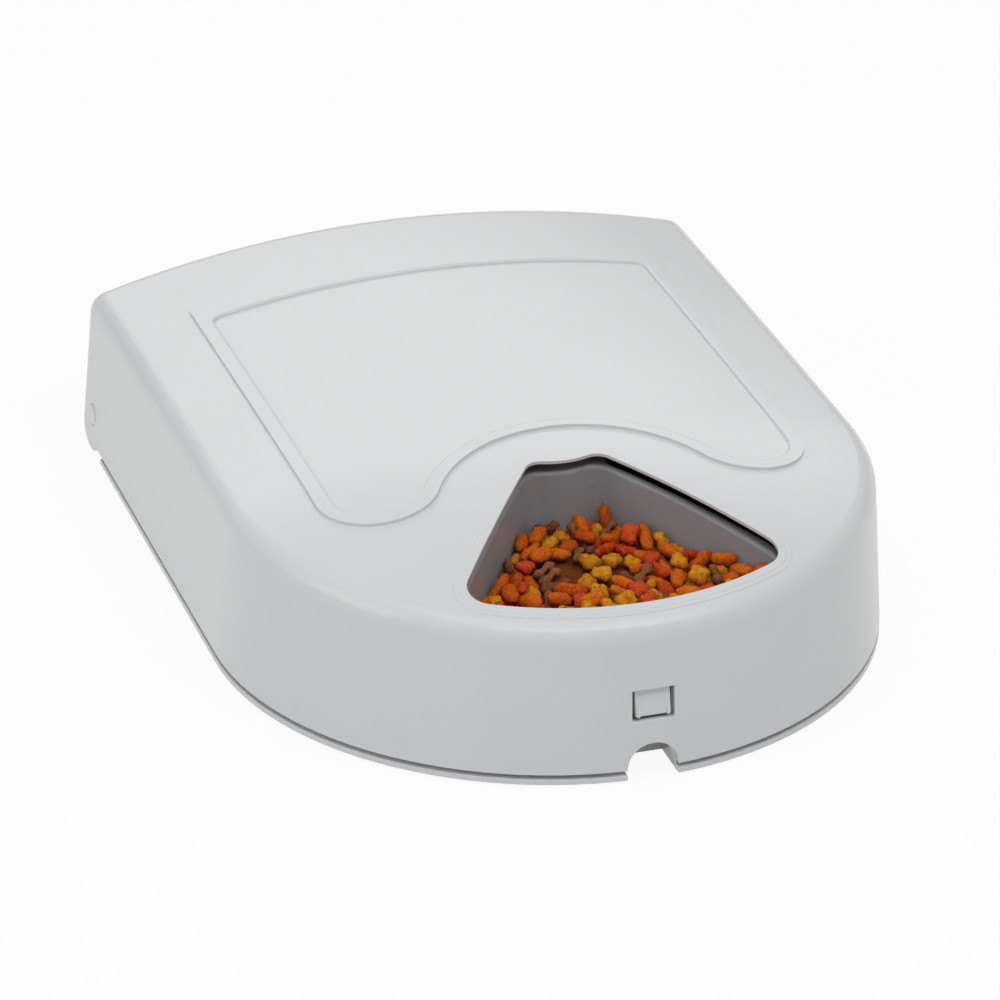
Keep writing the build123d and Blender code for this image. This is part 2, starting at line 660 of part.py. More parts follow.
with BuildPart() as tray:
    with BuildSketch(side(0)):
        with BuildLine():
            Line((0, TRAY_Z), (TRAY_BOTTOM_R, TRAY_Z))
            Line((TRAY_BOTTOM_R, TRAY_Z), (TRAY_R, RIM_Z - 3))
            Line((TRAY_R, RIM_Z - 3), (TRAY_R, RIM_Z))
            ThreePointArc((TRAY_R, RIM_Z), (TRAY_R / 2, tray_crown(TRAY_R / 2)), (0, TRAY_CROWN_Z))
            Line((0, TRAY_CROWN_Z), (0, TRAY_Z))
        make_face()
    revolve(axis=TRAY_AXIS)
    rim_edge = tray.edges().filter_by(lambda e: e.geom_type == GeomType.CIRCLE and e.length > 6 * TRAY_R)
    fillet(rim_edge.sort_by(Axis.Z)[-1], 1.2)
    with Locations(Location((0, TRAY_Y, 0))):
        with PolarLocations(0, MEALS):
            add(compartment, mode=Mode.SUBTRACT)
    rims = tray.edges().filter_by(lambda e: e.center().Z > RIM_Z - 1
                                  and hypot(e.center().X, e.center().Y - TRAY_Y) > POCKET_INNER_R - 2
                                  and hypot(e.center().X, e.center().Y - TRAY_Y) < POCKET_OUTER_R + 1.5
                                  and e.geom_type != GeomType.CIRCLE)
    fillet(rims, RIM_R)
    # dished hub with a grip bar for lifting the tray out
    with BuildSketch(level(TRAY_CROWN_Z + 5)):
        Circle(GRIP_R)
        Rectangle(8, 2 * GRIP_R + 2, mode=Mode.SUBTRACT)
    extrude(amount=-17, mode=Mode.SUBTRACT)
    # socket for the drive head
    with BuildSketch(level(TRAY_Z - 1)):
        Circle(DRIVE_HEAD_R + SOCKET_GAP)
        with Locations((0, DRIVE_HEAD_R), (0, -DRIVE_HEAD_R)):
            Rectangle(2 * DRIVE_HEAD_R + 2, 2 * (2 - SOCKET_GAP), mode=Mode.SUBTRACT)
    extrude(amount=DRIVE_HEAD_Z + FIT_GAP - TRAY_Z + 1, mode=Mode.SUBTRACT)
    # cored dividers, seen from below
    with BuildSketch(level(TRAY_Z)):
        with PolarLocations(86, MEALS, start_angle=90):
            SlotOverall(74, 5)
    extrude(amount=20, mode=Mode.SUBTRACT)
export(tray, "tray")

# Served portion of dry food in the front compartment
FOOD_GAP = 0.4
FOOD_TOP = 72.0
FOOD_MIDDLE = 70.0           # tray axis to the heap's highest point
FOOD_CROWN_R = 110.0
food_space = compartment_space(FOOD_GAP, POCKET_FLOOR_Z + FOOD_GAP, CROWN_TOP)
with BuildPart() as food_portion:
    with Locations(Location((0, TRAY_Y, 0))):
        add(food_space)
    with Locations(at(0, -FOOD_MIDDLE, FOOD_TOP - FOOD_CROWN_R)):
        Sphere(FOOD_CROWN_R, mode=Mode.INTERSECT)
export(food_portion, "food_portion")

# Front latch: hangs in the base's slot, its hook over the sill of the lid's window
RIB_W = 1.3
RIB_PROUD = 0.7
RIB_INSET = 0.5
HOOK_SET_IN = 1.0            # outer wall to the hook's face
LEDGE_Z = LATCH_LOW + HOOK_GAP
HOOK_FACE = wall_radius(LEDGE_Z) - HOOK_SET_IN
ROOT_BACK = WELL_R + 0.6
ROOT_FACE = wall_radius(DECK_Z) - BASE_INSET - 0.2
with BuildPart() as lid_latch:
    with BuildSketch(side(-HOOK_HALF)):
        with BuildLine():
            Polyline((-ROOT_BACK, DECK_Z - 0.3), (-ROOT_FACE, DECK_Z - 0.3), (-ROOT_FACE, LATCH_HIGH + 1.4),
                     (-ROOT_FACE - 1.2, LATCH_HIGH + 0.2),
                     (-wall_radius(LATCH_HIGH) + 2.5, LATCH_HIGH - 1.1),
                     (-HOOK_FACE, LEDGE_Z + 0.7), (-HOOK_FACE, LEDGE_Z),
                     (-HOOK_FACE + 3.6, LEDGE_Z), (-ROOT_BACK - 1.4, LEDGE_Z + 6),
                     (-ROOT_BACK, LATCH_HIGH), close=True)
        make_face()
    extrude(amount=2 * HOOK_HALF)
    # wider root in the slot
    with BuildSketch(side(-LATCH_HALF + 0.4)):
        with BuildLine():
            Polyline((-ROOT_BACK, DECK_Z - 0.3), (-ROOT_FACE, DECK_Z - 0.3), (-ROOT_FACE, DECK_Z - 4.5),
                     (-ROOT_BACK, DECK_Z - 4.5), close=True)
        make_face()
    extrude(amount=2 * (LATCH_HALF - 0.4))
    # pivot stubs
    with BuildSketch(side(-LATCH_HALF - LATCH_STUB)):
        with Locations((-LATCH_PIVOT, LATCH_PIVOT_Z)):
            Circle(LATCH_PIN_R)
    extrude(amount=2 * (LATCH_HALF + LATCH_STUB))
    # small ribs at the hook's lower corners
    for start in (-HOOK_HALF + RIB_INSET, HOOK_HALF - RIB_INSET - RIB_W):
        with BuildSketch(side(start)):
            with BuildLine():
                Polyline((-HOOK_FACE + 1.4, LEDGE_Z + 6.5), (-HOOK_FACE - RIB_PROUD, LEDGE_Z + 0.8),
                         (-HOOK_FACE - RIB_PROUD, LEDGE_Z - 0.2), (-HOOK_FACE + 0.6, LEDGE_Z - 0.2),
                         (-HOOK_FACE + 2.4, LEDGE_Z + 1), close=True)
            make_face()
        extrude(amount=RIB_W)
export(lid_latch, "lid_latch")

# Bottom cover with the battery bay
BAY_HALF = CELLS * CELL_PITCH / 2 + 1.0
BAY_FRONT = 152.0
BAY_SPARE = 9.0
BAY_REAR = BAY_FRONT + CELL_LEN + BAY_SPARE
CELL_Z = COVER_TOP + 1.2 + CELL_R
BAY_TOP = CELL_Z + CELL_R + 0.8
BAY_MID = (BAY_FRONT + BAY_REAR) / 2
BAY_DEPTH = BAY_REAR - BAY_FRONT
POCKET_SPACE = POCKET_DEPTH + POCKET_T + FIT_GAP
DOOR_LEDGE = 3.0
DOOR_T = 1.3                 # thickness of the door, whose rear edge is fully round
DOOR_HALF = BAY_HALF + DOOR_LEDGE - FIT_GAP
DOOR_PIVOT = BAY_REAR + DOOR_LEDGE - FIT_GAP - DOOR_T / 2
DOOR_PIVOT_Z = COVER_Z + DOOR_T / 2
DOOR_PIN_R = 0.45
DOOR_PIN_REACH = 1.6         # reach of the pivot stubs into the cover
FEET = [(-110, -62), (110, -62), (-124, 62), (124, 62), (-116, 216), (116, 216)]
FOOT_R = 8.0
SCREW_HEAD_R = 2.6
SCREW_HEAD_T = 1.4
COVER_SCREW_R = BOSS_HOLE_R - 0.03

with BuildPart() as bottom_cover:
    with BuildSketch(level(COVER_Z)):
        add(footprint(COVER_INSET, 4.0))
        with Locations((0, -FRONT + POCKET_SPACE / 2)):
            Rectangle(2 * (NOTCH_R + POCKET_T + FIT_GAP), POCKET_SPACE, mode=Mode.SUBTRACT)
    extrude(amount=COVER_T)
    with BuildSketch(level(COVER_TOP)):
        with Locations((0, BAY_MID)):
            Rectangle(2 * (BAY_HALF + BAY_T), BAY_DEPTH + 2 * BAY_T)
    extrude(amount=BAY_TOP + BAY_T - COVER_TOP)
    # inside of the battery bay, open below
    with BuildSketch(level(COVER_Z)):
        with Locations((0, BAY_MID)):
            Rectangle(2 * BAY_HALF, BAY_DEPTH)
    extrude(amount=BAY_TOP - COVER_Z, mode=Mode.SUBTRACT)
    # recess for the door, with holes for its pivot stubs
    with BuildSketch(level(COVER_Z)):
        with Locations((0, BAY_MID)):
            Rectangle(2 * (BAY_HALF + DOOR_LEDGE), BAY_DEPTH + 2 * DOOR_LEDGE)
    extrude(amount=DOOR_T + SEAT_GAP, mode=Mode.SUBTRACT)
    with BuildSketch(side(-DOOR_HALF - DOOR_PIN_REACH - SEAT_GAP)):
        with Locations((DOOR_PIVOT, DOOR_PIVOT_Z)):
            Circle(DOOR_PIN_R + RUN_GAP)
    extrude(amount=2 * (DOOR_HALF + DOOR_PIN_REACH + SEAT_GAP), mode=Mode.SUBTRACT)
    # holes for the cover screws
    with BuildSketch(level(COVER_Z)):
        with Locations(*COVER_SCREWS):
            Circle(BOSS_HOLE_R + 0.2)
    extrude(amount=COVER_T, mode=Mode.SUBTRACT)
    with BuildSketch(level(COVER_Z)):
        with Locations(*COVER_SCREWS):
            Circle(SCREW_HEAD_R + 0.3)
    extrude(amount=SCREW_HEAD_T + 0.1, mode=Mode.SUBTRACT)
    # slots for the contact tails
    with BuildSketch(facing(BAY_FRONT + 1)):
        with Locations((-1.5 * CELL_PITCH, CELL_Z), (1.5 * CELL_PITCH, CELL_Z)):
            Rectangle(3.2, 1.0)
    extrude(amount=6, mode=Mode.SUBTRACT)
export(bottom_cover, "bottom_cover")

with BuildPart() as cover_screws:
    with BuildSketch(level(COVER_Z + 0.1)):
        with Locations(*COVER_SCREWS):
            Circle(SCREW_HEAD_R)
    extrude(amount=SCREW_HEAD_T)
    with BuildSketch(level(COVER_Z + 0.1)):
        with Locations(*COVER_SCREWS):
            Circle(COVER_SCREW_R)
    extrude(amount=11)
    with BuildSketch(level(COVER_Z + 0.1)):
        with Locations(*COVER_SCREWS):
            Rectangle(3.0, 0.7)
            Rectangle(0.7, 3.0)
    extrude(amount=0.8, mode=Mode.SUBTRACT)
export(cover_screws, "cover_screws")

with BuildPart() as rubber_feet:
    with BuildSketch(level(0)):
        with Locations(*FEET):
            Circle(FOOT_R)
    extrude(amount=COVER_Z)
    chamfer(rubber_feet.edges().group_by(Axis.Z)[0], 0.4)
export(rubber_feet, "rubber_feet")

# Battery door, hinged on two stubs at its rear edge
with BuildPart() as battery_door:
    with BuildSketch(side(-DOOR_HALF)):
        with Locations(((BAY_FRONT - DOOR_LEDGE + FIT_GAP + DOOR_PIVOT) / 2, DOOR_PIVOT_Z)):
            Rectangle(DOOR_PIVOT - BAY_FRONT + DOOR_LEDGE - FIT_GAP, DOOR_T)
        with Locations((DOOR_PIVOT, DOOR_PIVOT_Z)):
            Circle(DOOR_T / 2)
    extrude(amount=2 * DOOR_HALF)
    # stiffening rim inside the bay
    with BuildSketch(level(COVER_Z + DOOR_T)):
        with Locations((0, BAY_MID)):
            Rectangle(2 * (BAY_HALF - FIT_GAP), BAY_DEPTH - 2 * FIT_GAP)
            Rectangle(2 * (BAY_HALF - FIT_GAP - 3), BAY_DEPTH - 2 * FIT_GAP - 6, mode=Mode.SUBTRACT)
    extrude(amount=COVER_T - DOOR_T)
    # pivot stubs
    with BuildSketch(side(-DOOR_HALF - DOOR_PIN_REACH)):
        with Locations((DOOR_PIVOT, DOOR_PIVOT_Z)):
            Circle(DOOR_PIN_R)
    extrude(amount=2 * (DOOR_HALF + DOOR_PIN_REACH))
    # grip grooves near the catch
    with BuildSketch(level(COVER_Z)):
        with Locations(*[(0, BAY_FRONT + 8 + 3 * row) for row in range(4)]):
            Rectangle(26, 1.2)
    extrude(amount=0.5, mode=Mode.SUBTRACT)
    # finger scoop at the front edge
    with BuildSketch(level(COVER_Z)):
        with Locations((0, BAY_FRONT - DOOR_LEDGE)):
            Circle(6)
    extrude(amount=0.6, mode=Mode.SUBTRACT)
export(battery_door, "battery_door")

# Battery cells, side by side and turned alternately
CELL_CAP = 1.5
CELL_START = BAY_FRONT + 0.8
for number in range(CELLS):
    x = (number - (CELLS - 1) / 2) * CELL_PITCH
    nub_in_front = number % 2 == 0
    body_front = CELL_START + CELL_CAP if nub_in_front else BAY_REAR - 0.8 - CELL_LEN
    nub_from = body_front if nub_in_front else body_front + CELL_LEN - CELL_CAP
    with BuildPart() as battery_cell:
        with BuildSketch(facing(body_front)):
            with Locations((x, CELL_Z)):
                Circle(CELL_R)
        extrude(amount=-(CELL_LEN - CELL_CAP))
        chamfer(battery_cell.edges().filter_by(GeomType.CIRCLE), 0.8)
        with BuildSketch(facing(nub_from)):
            with Locations((x, CELL_Z)):
                Circle(4.8)
        extrude(amount=CELL_CAP if nub_in_front else -CELL_CAP)
    export(battery_cell, f"battery_cell_{number + 1}")

# Contacts: flat plates at the nubs, bent leaves at the flat ends
CONTACT_T = 0.5
with BuildPart() as contact_plates:
    for number in range(CELLS):
        x = (number - (CELLS - 1) / 2) * CELL_PITCH
        back = BAY_FRONT if number % 2 == 0 else BAY_REAR
        with BuildSketch(facing(back)):
            with Locations((x, CELL_Z)):
                Rectangle(14, 14)
        extrude(amount=-CONTACT_T if number % 2 == 0 else CONTACT_T)
    # tail through the bay's front wall
    with BuildSketch(facing(BAY_FRONT + CONTACT_T)):
        with Locations((-1.5 * CELL_PITCH, CELL_Z)):
            Rectangle(2.8, 0.6)
    extrude(amount=BAY_T + 3.5 + CONTACT_T)
export(contact_plates, "contact_plates")

with BuildPart() as contact_leaves:
    for number in range(CELLS):
        x = (number - (CELLS - 1) / 2) * CELL_PITCH
        flat_in_front = number % 2 == 1
        wall_y = BAY_FRONT if flat_in_front else BAY_REAR
        toward = 1 if flat_in_front else -1
        reach = BAY_SPARE - 0.8 - 0.3
        with BuildSketch(side(x - 5)):
            with BuildLine():
                Polyline((wall_y, CELL_Z - 9), (wall_y, CELL_Z + 9),
                         (wall_y + toward * CONTACT_T, CELL_Z + 9),
                         (wall_y + toward * reach, CELL_Z + 1), (wall_y + toward * reach, CELL_Z - 3),
                         (wall_y + toward * (reach - 2.4), CELL_Z - 6.5),
                         (wall_y + toward * (reach - 2.8), CELL_Z - 6.1),
                         (wall_y + toward * (reach - CONTACT_T), CELL_Z - 2.8),
                         (wall_y + toward * (reach - CONTACT_T), CELL_Z + 0.8),
                         (wall_y + toward * CONTACT_T, CELL_Z + 8.2),
                         (wall_y + toward * CONTACT_T, CELL_Z - 9), close=True)
            make_face()
        extrude(amount=10)
    # tail through the bay's front wall
    with BuildSketch(facing(BAY_FRONT + CONTACT_T)):
        with Locations((1.5 * CELL_PITCH, CELL_Z)):
            Rectangle(2.8, 0.6)
    extrude(amount=BAY_T + 3.5 + CONTACT_T)
export(contact_leaves, "contact_leaves")

# Gearbox
SECOND_X = (OUTPUT_TEETH + SECOND_PINION_TEETH) * OUTPUT_MODULE / 2 + GEAR_GAP
SECOND_AT = (SECOND_X, 0.0)
FIRST_STEP = (SECOND_TEETH + FIRST_PINION_TEETH) * SECOND_MODULE / 2 + GEAR_GAP
MOTOR_STEP = (FIRST_TEETH + MOTOR_TEETH) * FIRST_MODULE / 2 + GEAR_GAP
TRAIN = (cos(radians(TRAIN_ANGLE)), sin(radians(TRAIN_ANGLE)))
FIRST_AT = (SECOND_AT[0] + FIRST_STEP * TRAIN[0], SECOND_AT[1] + FIRST_STEP * TRAIN[1])
MOTOR_AT = (FIRST_AT[0] + MOTOR_STEP * TRAIN[0], FIRST_AT[1] + MOTOR_STEP * TRAIN[1])
GEARBOX_FLOOR = GEARBOX_Z + GEARBOX_PLATE_T
GEARBOX_LID_T = 1.4
GEARBOX_TOP = UNDER_WELL - FIT_GAP
GEARBOX_LID_Z = GEARBOX_TOP - GEARBOX_LID_T
MOTOR_Z = GEARBOX_FLOOR + 0.2
MOTOR_H = 12.3
MOTOR_TOP = MOTOR_Z + MOTOR_H
MOTOR_TERMINALS = (MOTOR_AT[0] - 2.5, MOTOR_AT[0] + 2.5)
OUTPUT_GEAR_Z = 9.0
OUTPUT_GEAR_H = 4.0
SECOND_GEAR_Z = 15.0
SECOND_GEAR_H = 2.6
FIRST_GEAR_Z = 19.9
FIRST_GEAR_H = 2.4
DISC_Z = 18.1
DISC_T = 1.2
DISC_R = 16.0


def gearbox_outline():
    """Outline shared by the gearbox frame and its lid."""
    with BuildSketch() as shape:
        with Locations(*GEARBOX_POSTS):
            Circle(5.5)
        with Locations(MOTOR_AT):
            Circle(MOTOR_R + 2.5)
        make_hull()
    return shape.sketch


with BuildPart() as gearbox_frame:
    with BuildSketch(level(GEARBOX_Z)):
        add(gearbox_outline())
    extrude(amount=GEARBOX_PLATE_T)
    with BuildSketch(level(GEARBOX_FLOOR)):
        with Locations(*GEARBOX_POSTS):
            Circle(3.0)
    extrude(amount=GEARBOX_LID_Z - GEARBOX_FLOOR)
    # ring that holds the motor
    with BuildSketch(level(GEARBOX_FLOOR)):
        with Locations(MOTOR_AT):
            Circle(MOTOR_R + 1.6)
            Circle(MOTOR_R + SEAT_GAP, mode=Mode.SUBTRACT)
        with Locations((MOTOR_AT[0], MOTOR_AT[1] + MOTOR_R)):
            Rectangle(9, 8, mode=Mode.SUBTRACT)
    extrude(amount=2.5)
    with BuildSketch(level(GEARBOX_Z)):
        with Locations(*GEARBOX_POSTS):
            Circle(GEARBOX_SCREW_R + RUN_GAP)
    extrude(amount=GEARBOX_TOP, mode=Mode.SUBTRACT)
    # blind seats for the axles
    with BuildSketch(level(GEARBOX_FLOOR - 0.9)):
        with Locations(FIRST_AT, SECOND_AT):
            Circle(AXLE_R + 0.02)
    extrude(amount=5, mode=Mode.SUBTRACT)
export(gearbox_frame, "gearbox_frame")

with BuildPart() as gearbox_lid:
    with BuildSketch(level(GEARBOX_LID_Z)):
        add(gearbox_outline())
        Circle(SPINDLE_R + 0.4, mode=Mode.SUBTRACT)
        with Locations(*GEARBOX_POSTS):
            Circle(GEARBOX_SCREW_R + RUN_GAP, mode=Mode.SUBTRACT)
        with Locations(FIRST_AT, SECOND_AT):
            Circle(AXLE_R + 0.02, mode=Mode.SUBTRACT)
    extrude(amount=GEARBOX_LID_T)
export(gearbox_lid, "gearbox_lid")

with BuildPart() as gearbox_screws:
    with BuildSketch(level(GEARBOX_Z - 0.4)):
        with Locations(*GEARBOX_POSTS):
            Circle(2.2)
    extrude(amount=0.4)
    with BuildSketch(level(GEARBOX_Z)):
        with Locations(*GEARBOX_POSTS):
            Circle(GEARBOX_SCREW_R)
    extrude(amount=GEARBOX_SCREW_TOP - GEARBOX_Z)
export(gearbox_screws, "gearbox_screws")

with BuildPart() as motor_can:
    with BuildSketch(level(MOTOR_Z + 1.5)):
        with Locations(MOTOR_AT):
            Circle(MOTOR_R)
    extrude(amount=MOTOR_H - 1.5)
    fillet(motor_can.edges().group_by(Axis.Z)[-1], 1.0)
    with BuildSketch(level(MOTOR_TOP)):
        with Locations(MOTOR_AT):
            Circle(3.2)
    extrude(amount=0.6)
    with BuildSketch(level(MOTOR_TOP + 1)):
        with Locations(MOTOR_AT):
            Circle(1.0 + RUN_GAP)
    extrude(amount=-8, mode=Mode.SUBTRACT)
export(motor_can, "motor_can")

with BuildPart() as motor_end_cap:
    with BuildSketch(level(MOTOR_Z)):
        with Locations(MOTOR_AT):
            Circle(MOTOR_R - 0.2)
    extrude(amount=1.5)
    # terminals for the two leads
    with BuildSketch(level(MOTOR_Z + 0.3)):
        with Locations(*[(x, MOTOR_AT[1] + MOTOR_R) for x in MOTOR_TERMINALS]):
            Rectangle(1.6, 4)
    extrude(amount=0.5)
export(motor_end_cap, "motor_end_cap")

with BuildPart() as motor_pinion:
    with BuildSketch(level(MOTOR_TOP - 6)):
        with Locations(MOTOR_AT):
            Circle(1.0)
    extrude(amount=FIRST_GEAR_Z + FIRST_GEAR_H + 0.2 - MOTOR_TOP + 6)
    with BuildSketch(level(FIRST_GEAR_Z - 0.2)):
        with Locations(MOTOR_AT):
            add(gear_shape(MOTOR_TEETH, FIRST_MODULE, TRAIN_ANGLE + 180 + 180 / MOTOR_TEETH))
    extrude(amount=FIRST_GEAR_H + 0.3)
export(motor_pinion, "motor_pinion")

with BuildPart() as first_gear:
    with BuildSketch(level(FIRST_GEAR_Z)):
        with Locations(FIRST_AT):
            add(gear_shape(FIRST_TEETH, FIRST_MODULE, TRAIN_ANGLE))
    extrude(amount=FIRST_GEAR_H)
    with BuildSketch(level(SECOND_GEAR_Z - 0.3)):
        with Locations(FIRST_AT):
            add(gear_shape(FIRST_PINION_TEETH, SECOND_MODULE, TRAIN_ANGLE + 180 + 180 / FIRST_PINION_TEETH))
    extrude(amount=FIRST_GEAR_Z - SECOND_GEAR_Z + 0.3)
    with BuildSketch(level(GEARBOX_FLOOR + 0.2)):
        with Locations(FIRST_AT):
            Circle(2.4)
    extrude(amount=GEARBOX_LID_Z - GEARBOX_FLOOR - 0.4)
    with BuildSketch(level(GEARBOX_FLOOR)):
        with Locations(FIRST_AT):
            Circle(AXLE_R + RUN_GAP)
    extrude(amount=30, mode=Mode.SUBTRACT)
export(first_gear, "first_gear")

with BuildPart() as second_gear:
    with BuildSketch(level(SECOND_GEAR_Z)):
        with Locations(SECOND_AT):
            add(gear_shape(SECOND_TEETH, SECOND_MODULE, TRAIN_ANGLE))
    extrude(amount=SECOND_GEAR_H)
    with BuildSketch(level(OUTPUT_GEAR_Z - 0.5)):
        with Locations(SECOND_AT):
            add(gear_shape(SECOND_PINION_TEETH, OUTPUT_MODULE, 180 + 180 / SECOND_PINION_TEETH))
    extrude(amount=SECOND_GEAR_Z - OUTPUT_GEAR_Z + 0.5)
    with BuildSketch(level(GEARBOX_FLOOR + 0.2)):
        with Locations(SECOND_AT):
            Circle(2.6)
    extrude(amount=FIRST_GEAR_Z - 0.6 - GEARBOX_FLOOR - 0.2)
    with BuildSketch(level(GEARBOX_FLOOR)):
        with Locations(SECOND_AT):
            Circle(AXLE_R + RUN_GAP)
    extrude(amount=30, mode=Mode.SUBTRACT)
export(second_gear, "second_gear")

for centre, name in ((FIRST_AT, "first_axle"), (SECOND_AT, "second_axle")):
    with BuildPart() as axle:
        with BuildSketch(level(GEARBOX_FLOOR - 0.9)):
            with Locations(centre):
                Circle(AXLE_R)
        extrude(amount=GEARBOX_TOP - GEARBOX_FLOOR + 0.9)
    export(axle, name)

with BuildPart() as output_gear:
    with BuildSketch(level(OUTPUT_GEAR_Z)):
        add(gear_shape(OUTPUT_TEETH, OUTPUT_MODULE, 0))
        with PolarLocations(13, 6, start_angle=30):
            Circle(3.4, mode=Mode.SUBTRACT)
    extrude(amount=OUTPUT_GEAR_H)
    with BuildSketch(level(OUTPUT_GEAR_Z - 1)):
        Circle(7)
    extrude(amount=OUTPUT_GEAR_H + 2.5)
    with BuildSketch(level(0)):
        Circle(SPINDLE_R + 0.02)
    extrude(amount=30, mode=Mode.SUBTRACT)
export(output_gear, "output_gear")

with BuildPart() as index_disc:
    with BuildSketch(level(DISC_Z)):
        Circle(DISC_R)
        with PolarLocations(DISC_R - 1.5, MEALS, start_angle=0):
            Rectangle(4.5, 2.4, mode=Mode.SUBTRACT)
    extrude(amount=DISC_T)
    with BuildSketch(level(OUTPUT_GEAR_Z + OUTPUT_GEAR_H + 1.5)):
        Circle(6)
    extrude(amount=DISC_Z + DISC_T + 1 - OUTPUT_GEAR_Z - OUTPUT_GEAR_H - 1.5)
    with BuildSketch(level(0)):
        Circle(SPINDLE_R + 0.02)
    extrude(amount=30, mode=Mode.SUBTRACT)
export(index_disc, "index_disc")

SENSOR_TOP = GEARBOX_LID_Z - 1.0
SENSOR_X = -25.2
with BuildPart() as slot_sensor:
    with BuildSketch(side(SENSOR_X - 1.8)):
        with Locations((0, (GEARBOX_FLOOR + SENSOR_TOP) / 2)):
            Rectangle(6, SENSOR_TOP - GEARBOX_FLOOR)
    extrude(amount=3.6)
    for low in (DISC_Z - 2.6, DISC_Z + DISC_T + 0.7):
        with BuildSketch(side(SENSOR_X - 1.8)):
            with Locations((0, low + 0.9)):
                Rectangle(6, 1.8)
        extrude(amount=14.0)
export(slot_sensor, "slot_sensor")

with BuildPart() as spindle_bush:
    with BuildSketch(level(UNDER_WELL)):
        Circle(SPINDLE_R + 2.45)
    extrude(amount=BASE_T)
    with BuildSketch(level(WELL_FLOOR_Z)):
        Circle(SPINDLE_R + 4.5)
    extrude(amount=1.0)
    with BuildSketch(level(0)):
        Circle(SPINDLE_R + RUN_GAP)
    extrude(amount=40, mode=Mode.SUBTRACT)
export(spindle_bush, "spindle_bush")

with BuildPart() as drive_spindle:
    with BuildSketch(level(GEARBOX_FLOOR + 0.2)):
        Circle(SPINDLE_R)
    extrude(amount=WELL_FLOOR_Z - GEARBOX_FLOOR + 1.2)
    with BuildSketch(level(WELL_FLOOR_Z + 1.2)):
        Circle(DRIVE_HEAD_R)
        with Locations((0, DRIVE_HEAD_R), (0, -DRIVE_HEAD_R)):
            Rectangle(2 * DRIVE_HEAD_R + 2, 4, mode=Mode.SUBTRACT)
    extrude(amount=DRIVE_HEAD_Z - WELL_FLOOR_Z - 1.2)
    chamfer(drive_spindle.edges().group_by(Axis.Z)[-1], 1.0)
export(drive_spindle, "drive_spindle")

# Control console under the lid
with BuildPart() as control_console:
    with BuildSketch(level(DECK_Z)):
        with Locations((0, (CONSOLE_FRONT + CONSOLE_REAR) / 2)):
            RectangleRounded(2 * CONSOLE_HALF, CONSOLE_DEPTH, 6)
    extrude(amount=CONSOLE_Z - DECK_Z)
    fillet(control_console.edges().group_by(Axis.Z)[-1], 1.6)
    with BuildSketch(level(DECK_Z)):
        with Locations((0, (CONSOLE_FRONT + CONSOLE_REAR) / 2)):
            RectangleRounded(2 * (CONSOLE_HALF - CONSOLE_T), CONSOLE_DEPTH - 2 * CONSOLE_T, 4)
    extrude(amount=CONSOLE_Z - CONSOLE_T - DECK_Z, mode=Mode.SUBTRACT)
    with BuildSketch(level(CONSOLE_Z)):
        with Locations((0, LCD_Y)):
            RectangleRounded(LENS_W, LENS_D, 2)
        with Locations((0, BUTTON_Y)):
            with GridLocations(BUTTON_PITCH, 1, BUTTONS, 1):
                Circle(BUTTON_R + FIT_GAP)
        with Locations(*CONSOLE_PEGS):
            Circle(PANEL_SCREW_R + 0.2)
    extrude(amount=-CONSOLE_T - 1, mode=Mode.SUBTRACT)
    # step that the lens is laid in
    with BuildSketch(level(CONSOLE_Z)):
        with Locations((0, LCD_Y)):
            RectangleRounded(LENS_W + 4, LENS_D + 4, 3)
    extrude(amount=-1.1, mode=Mode.SUBTRACT)
export(control_console, "control_console")

with BuildPart() as display_lens:
    with BuildSketch(level(CONSOLE_Z - 1.1)):
        with Locations((0, LCD_Y)):
            RectangleRounded(LENS_W + 3.6, LENS_D + 3.6, 2.8)
    extrude(amount=1.1)
export(display_lens, "display_lens")

with BuildPart() as panel_screws:
    with BuildSketch(level(CONSOLE_Z)):
        with Locations(*CONSOLE_PEGS):
            Circle(2.3)
    extrude(amount=1.2)
    fillet(panel_screws.edges().group_by(Axis.Z)[-1], 0.6)
    with BuildSketch(level(CONSOLE_Z)):
        with Locations(*CONSOLE_PEGS):
            Circle(PANEL_SCREW_R)
    extrude(amount=-9)
    with BuildSketch(level(CONSOLE_Z + 1.2)):
        with Locations(*CONSOLE_PEGS):
            Rectangle(2.6, 0.6)
            Rectangle(0.6, 2.6)
    extrude(amount=-0.7, mode=Mode.SUBTRACT)
export(panel_screws, "panel_screws")

BOARD_TOP = BOARD_Z + BOARD_T
with BuildPart() as circuit_board:
    with BuildSketch(level(BOARD_Z)):
        with Locations((0, (BOARD_FRONT + BOARD_REAR) / 2)):
            Rectangle(2 * BOARD_HALF, BOARD_REAR - BOARD_FRONT)
        with Locations(*BOARD_POSTS):
            Circle(BOARD_SCREW_R + 0.2, mode=Mode.SUBTRACT)
    extrude(amount=BOARD_T)
export(circuit_board, "circuit_board")

with BuildPart() as board_screws:
    with BuildSketch(level(BOARD_TOP)):
        with Locations(*BOARD_POSTS):
            Circle(1.9)
    extrude(amount=1.2)
    with BuildSketch(level(BOARD_TOP)):
        with Locations(*BOARD_POSTS):
            Circle(BOARD_SCREW_R)
    extrude(amount=-4)
export(board_screws, "board_screws")

with BuildPart() as lcd_module:
    with BuildSketch(level(BOARD_TOP)):
        with Locations((0, LCD_Y)):
            Rectangle(LCD_W, LCD_D)
    extrude(amount=CONSOLE_Z - CONSOLE_T - 0.6 - BOARD_TOP)
export(lcd_module, "lcd_module")

with BuildPart() as circuit_chips:
    with BuildSketch(level(BOARD_TOP)):
        with Locations((-42, 200), (42, 200)):
            Rectangle(12, 12)
    extrude(amount=1.6)
    with BuildSketch(level(BOARD_TOP)):
        with Locations((-42, 184), (42, 184)):
            Circle(3)
    extrude(amount=5)
export(circuit_chips, "circuit_chips")

